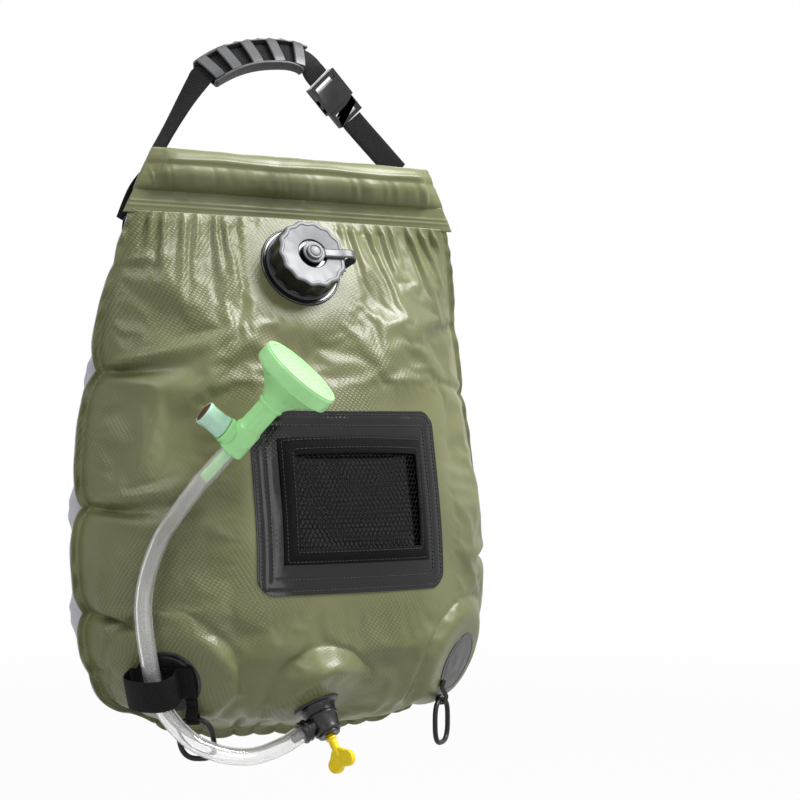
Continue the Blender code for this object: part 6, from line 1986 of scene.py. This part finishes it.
class SHOWER_OT_head(bpy.types.Operator):
    """Make the shower head with its trumpet, plain rim, spray face and push valve"""

    bl_idname = "shower.head"
    bl_label = "Shower head"

    def execute(self, context):
        place = axes(HEAD_PLACE, HEAD_RUN, KNOB_RUN)
        across = axes(HEAD_PLACE, KNOB_RUN, HEAD_RUN)
        mint = finish("mint")
        barb_end = -TEE_BACK - HEAD_BARB
        mouth = RIM_RADIUS - RIM_WALL - GAP
        cone_end = CONE_START + CONE_LENGTH
        outer = [(0.0024, barb_end)]
        for k in range(3):
            low = barb_end + k * HEAD_BARB / 3
            outer += [(0.0036, low), (0.0040, low + HEAD_BARB * 0.25), (0.0037, low + HEAD_BARB * 0.27)]
        outer += [
            (0.0038, -TEE_BACK), (0.0086, -TEE_BACK), (0.0100, HEAD_WALL / 2 - TEE_BACK), (0.0100, 0.0108),
            (0.0096, 0.0124), (0.0089, 0.0132), (0.0088, 0.0200), (0.0088, CONE_START - 0.0040),
            (0.0090, CONE_START - 0.0026), (0.0098, CONE_START - 0.0018), (0.0100, CONE_START - 0.0006),
            (0.0098, CONE_START + 0.0004), (TRUMPET_ROOT, CONE_START + 0.0012),
        ]
        flare = even_curve((0, 0.18, 0.48, 0.76, 1), (0, 0.095, 0.34, 0.70, 1))
        trumpet = [
            (TRUMPET_ROOT + (mouth - TRUMPET_ROOT) * float(flare(t)), CONE_START + CONE_LENGTH * t)
            for t in np.linspace(0.07, 1, 16)
        ]
        last = RIM_START + RIM_LENGTH - RIM_LIP - FACE_THICKNESS - 2 * GAP
        inner = [(mouth, last), (mouth - HEAD_WALL, last), (mouth - HEAD_WALL, cone_end + HEAD_WALL / 2)]
        inner += [
            (TRUMPET_ROOT + (mouth - TRUMPET_ROOT) * 0.60 - HEAD_WALL, CONE_START + CONE_LENGTH * 0.80),
            (0.0070, CONE_START + CONE_LENGTH * 0.42)
        ]
        inner += [(HEAD_BORE, CONE_START + HEAD_WALL), (HEAD_BORE, HEAD_WALL - TEE_BACK), (0.0024, -TEE_BACK)]

        def ribs(radius, height, angle):
            if 0.0140 < height < CONE_START - 0.0035 and radius > 0.0080:
                return -HANDLE_RIB_DEPTH * (0.5 - 0.5 * math.cos(HANDLE_RIBS * angle)) ** 3
            return 0

        handle = turned("handle", outer + trumpet + inner, place, mint, 112, 0.0003, ribs, True)
        boss = turned("boss", [
            (0.0068, 0.0050), (0.0076, 0.0050), (0.0096, 0.0072), (0.0096, 0.0108), (0.0099, 0.0112),
            (0.0099, 0.0128), (0.0095, BOSS_LENGTH), (0.0068, BOSS_LENGTH),
        ], across, mint, 80, 0.0003, bored=True)
        settle(joined("head_moulding", [handle, boss]), "bag", "head_body", "head_body")

        rim_end = RIM_START + RIM_LENGTH
        bore = RIM_RADIUS - RIM_WALL
        lip = rim_end - RIM_LIP
        rim = turned("rim_moulding", [
            (bore, RIM_START), (0.0304, RIM_START), (0.0309, RIM_START + 0.0005), (0.0309, RIM_START + 0.0012),
            (RIM_RADIUS, RIM_START + 0.0018), (RIM_RADIUS, RIM_START + 0.0060), (RIM_RADIUS, rim_end - 0.0022),
            (0.0308, rim_end - 0.0015), (0.0308, rim_end - 0.0006), (0.0302, rim_end), (bore - HEAD_WALL, rim_end),
            (bore - HEAD_WALL, lip), (bore, lip),
        ], place, mint, 160, 0.0002, bored=True)
        settle(rim, "bag", "head_rim", "head_rim")

        face_top = lip - GAP
        edge = bore - HEAD_WALL - GAP
        step = face_top + RIM_LIP
        crown = [(edge * t, step + FACE_CROWN * (1 - t**2)) for t in np.linspace(1, 0, 12)]
        face = turned(
            "spray_face",
            [
                (0, face_top - FACE_THICKNESS), (bore - GAP, face_top - FACE_THICKNESS),
                (bore - GAP, face_top), (edge, face_top)
            ] + crown, place, mint, 96, 0
        )
        pin = [(0, 0), (SPRAY_HOLE, 0), (SPRAY_HOLE, SPRAY_PIN), (0, SPRAY_PIN)]
        pins = []
        for count, radius in SPRAY_RINGS:
            for k in range(count):
                a = 2 * math.pi * (k + 0.5 * (radius > 0)) / count
                spot = place @ Matrix.Translation((radius * math.cos(a), radius * math.sin(a), face_top - 0.0005))
                pins.append(turned("pin", pin, spot, mint, 10, 0))
        cutter = joined("pins", pins)
        cut = face.modifiers.new("Holes", "BOOLEAN")
        cut.operation = "DIFFERENCE"
        cut.solver = "EXACT"
        cut.object = cutter
        settle(face, "bag", "head_face", "head_face")
        bpy.data.objects.remove(cutter, do_unlink=True)

        knob_start = BOSS_LENGTH + KNOB_GAP
        recess = KNOB_END - KNOB_RECESS
        knob = turned("knob_moulding", [
            (0, knob_start - 0.0075), (0.0060, knob_start - 0.0075), (0.0062, knob_start), (0.0082, knob_start),
            (0.0090, knob_start + 0.0008), (0.0090, knob_start + 0.0022), (0.0085, knob_start + 0.0034),
            (0.0083, knob_start + 0.0090), (0.0084, KNOB_END - 0.0060), (0.0087, KNOB_END - 0.0036),
            (0.0090, KNOB_END - 0.0022), (0.0090, KNOB_END - 0.0008), (0.0085, KNOB_END),
            (0.0079, KNOB_END - 0.0001),
            (0.0077, KNOB_END - 0.0008), (0.0077, recess), (0, recess),
        ], across, finish("pale mint"), 96, 0.0003)
        settle(knob, "valve", "valve_knob", "valve_knob")
        low = recess + GAP
        disc = turned("disc_moulding", [
            (0, low), (0.0074, low), (0.0074, KNOB_END - 0.0006), (0.0070, KNOB_END), (0.0062, KNOB_END + 0.0004),
            (0.0040, KNOB_END + 0.0008), (0, KNOB_END + 0.0009),
        ], across, finish("disc"), 80, 0.0001)
        settle(disc, "valve", "knob_disc", "knob_disc")
        return {"FINISHED"}


class SHOWER_OT_kept(bpy.types.Operator):
    """Give the frame's own rod and seals their materials"""

    bl_idname = "shower.kept"
    bl_label = "Rod and seals"

    def execute(self, context):
        for node, name in (
            ("top_rod", "rod"),
            ("tap_seal", "rubber"),
            ("spool_seal_1", "rubber"),
            ("spool_seal_2", "rubber"),
            ("cap_gasket", "rubber"),
        ):
            for slot in frame["nodes"][node].material_slots:
                slot.material = finish(name)
        return {"FINISHED"}


class SHOWER_PT_panel(bpy.types.Panel):
    """Pieces of the shower bag, in the order they are made"""

    bl_idname = "SHOWER_PT_panel"
    bl_label = "Shower bag"
    bl_space_type = "VIEW_3D"
    bl_region_type = "UI"
    bl_category = "Shower bag"

    def draw(self, context):
        layout = self.layout
        for group in (context.scene.shower_sizes, context.scene.shower_colours):
            box = layout.box()
            for key in group.__annotations__:
                box.prop(group, key)
        for operator in OPERATORS:
            layout.operator(operator.bl_idname)


OPERATORS = (
    SHOWER_OT_camera,
    SHOWER_OT_hose,
    SHOWER_OT_stage,
    SHOWER_OT_film,
    SHOWER_OT_roll,
    SHOWER_OT_pocket,
    SHOWER_OT_straps,
    SHOWER_OT_grip,
    SHOWER_OT_buckle,
    SHOWER_OT_filler,
    SHOWER_OT_corners,
    SHOWER_OT_outlet,
    SHOWER_OT_head,
    SHOWER_OT_kept,
)
CLASSES = (ShowerSizes, ShowerColours) + OPERATORS + (SHOWER_PT_panel,)


def register():
    for kind in CLASSES:
        bpy.utils.register_class(kind)
    bpy.types.Scene.shower_sizes = PointerProperty(type=ShowerSizes)
    bpy.types.Scene.shower_colours = PointerProperty(type=ShowerColours)


def unregister():
    del bpy.types.Scene.shower_colours
    del bpy.types.Scene.shower_sizes
    for kind in reversed(CLASSES):
        bpy.utils.unregister_class(kind)


def main():
    register()
    for operator in OPERATORS:
        group, name = operator.bl_idname.split(".")
        getattr(getattr(bpy.ops, group), name)()
        print("made", operator.bl_label)


if __name__ == "__main__":
    main()
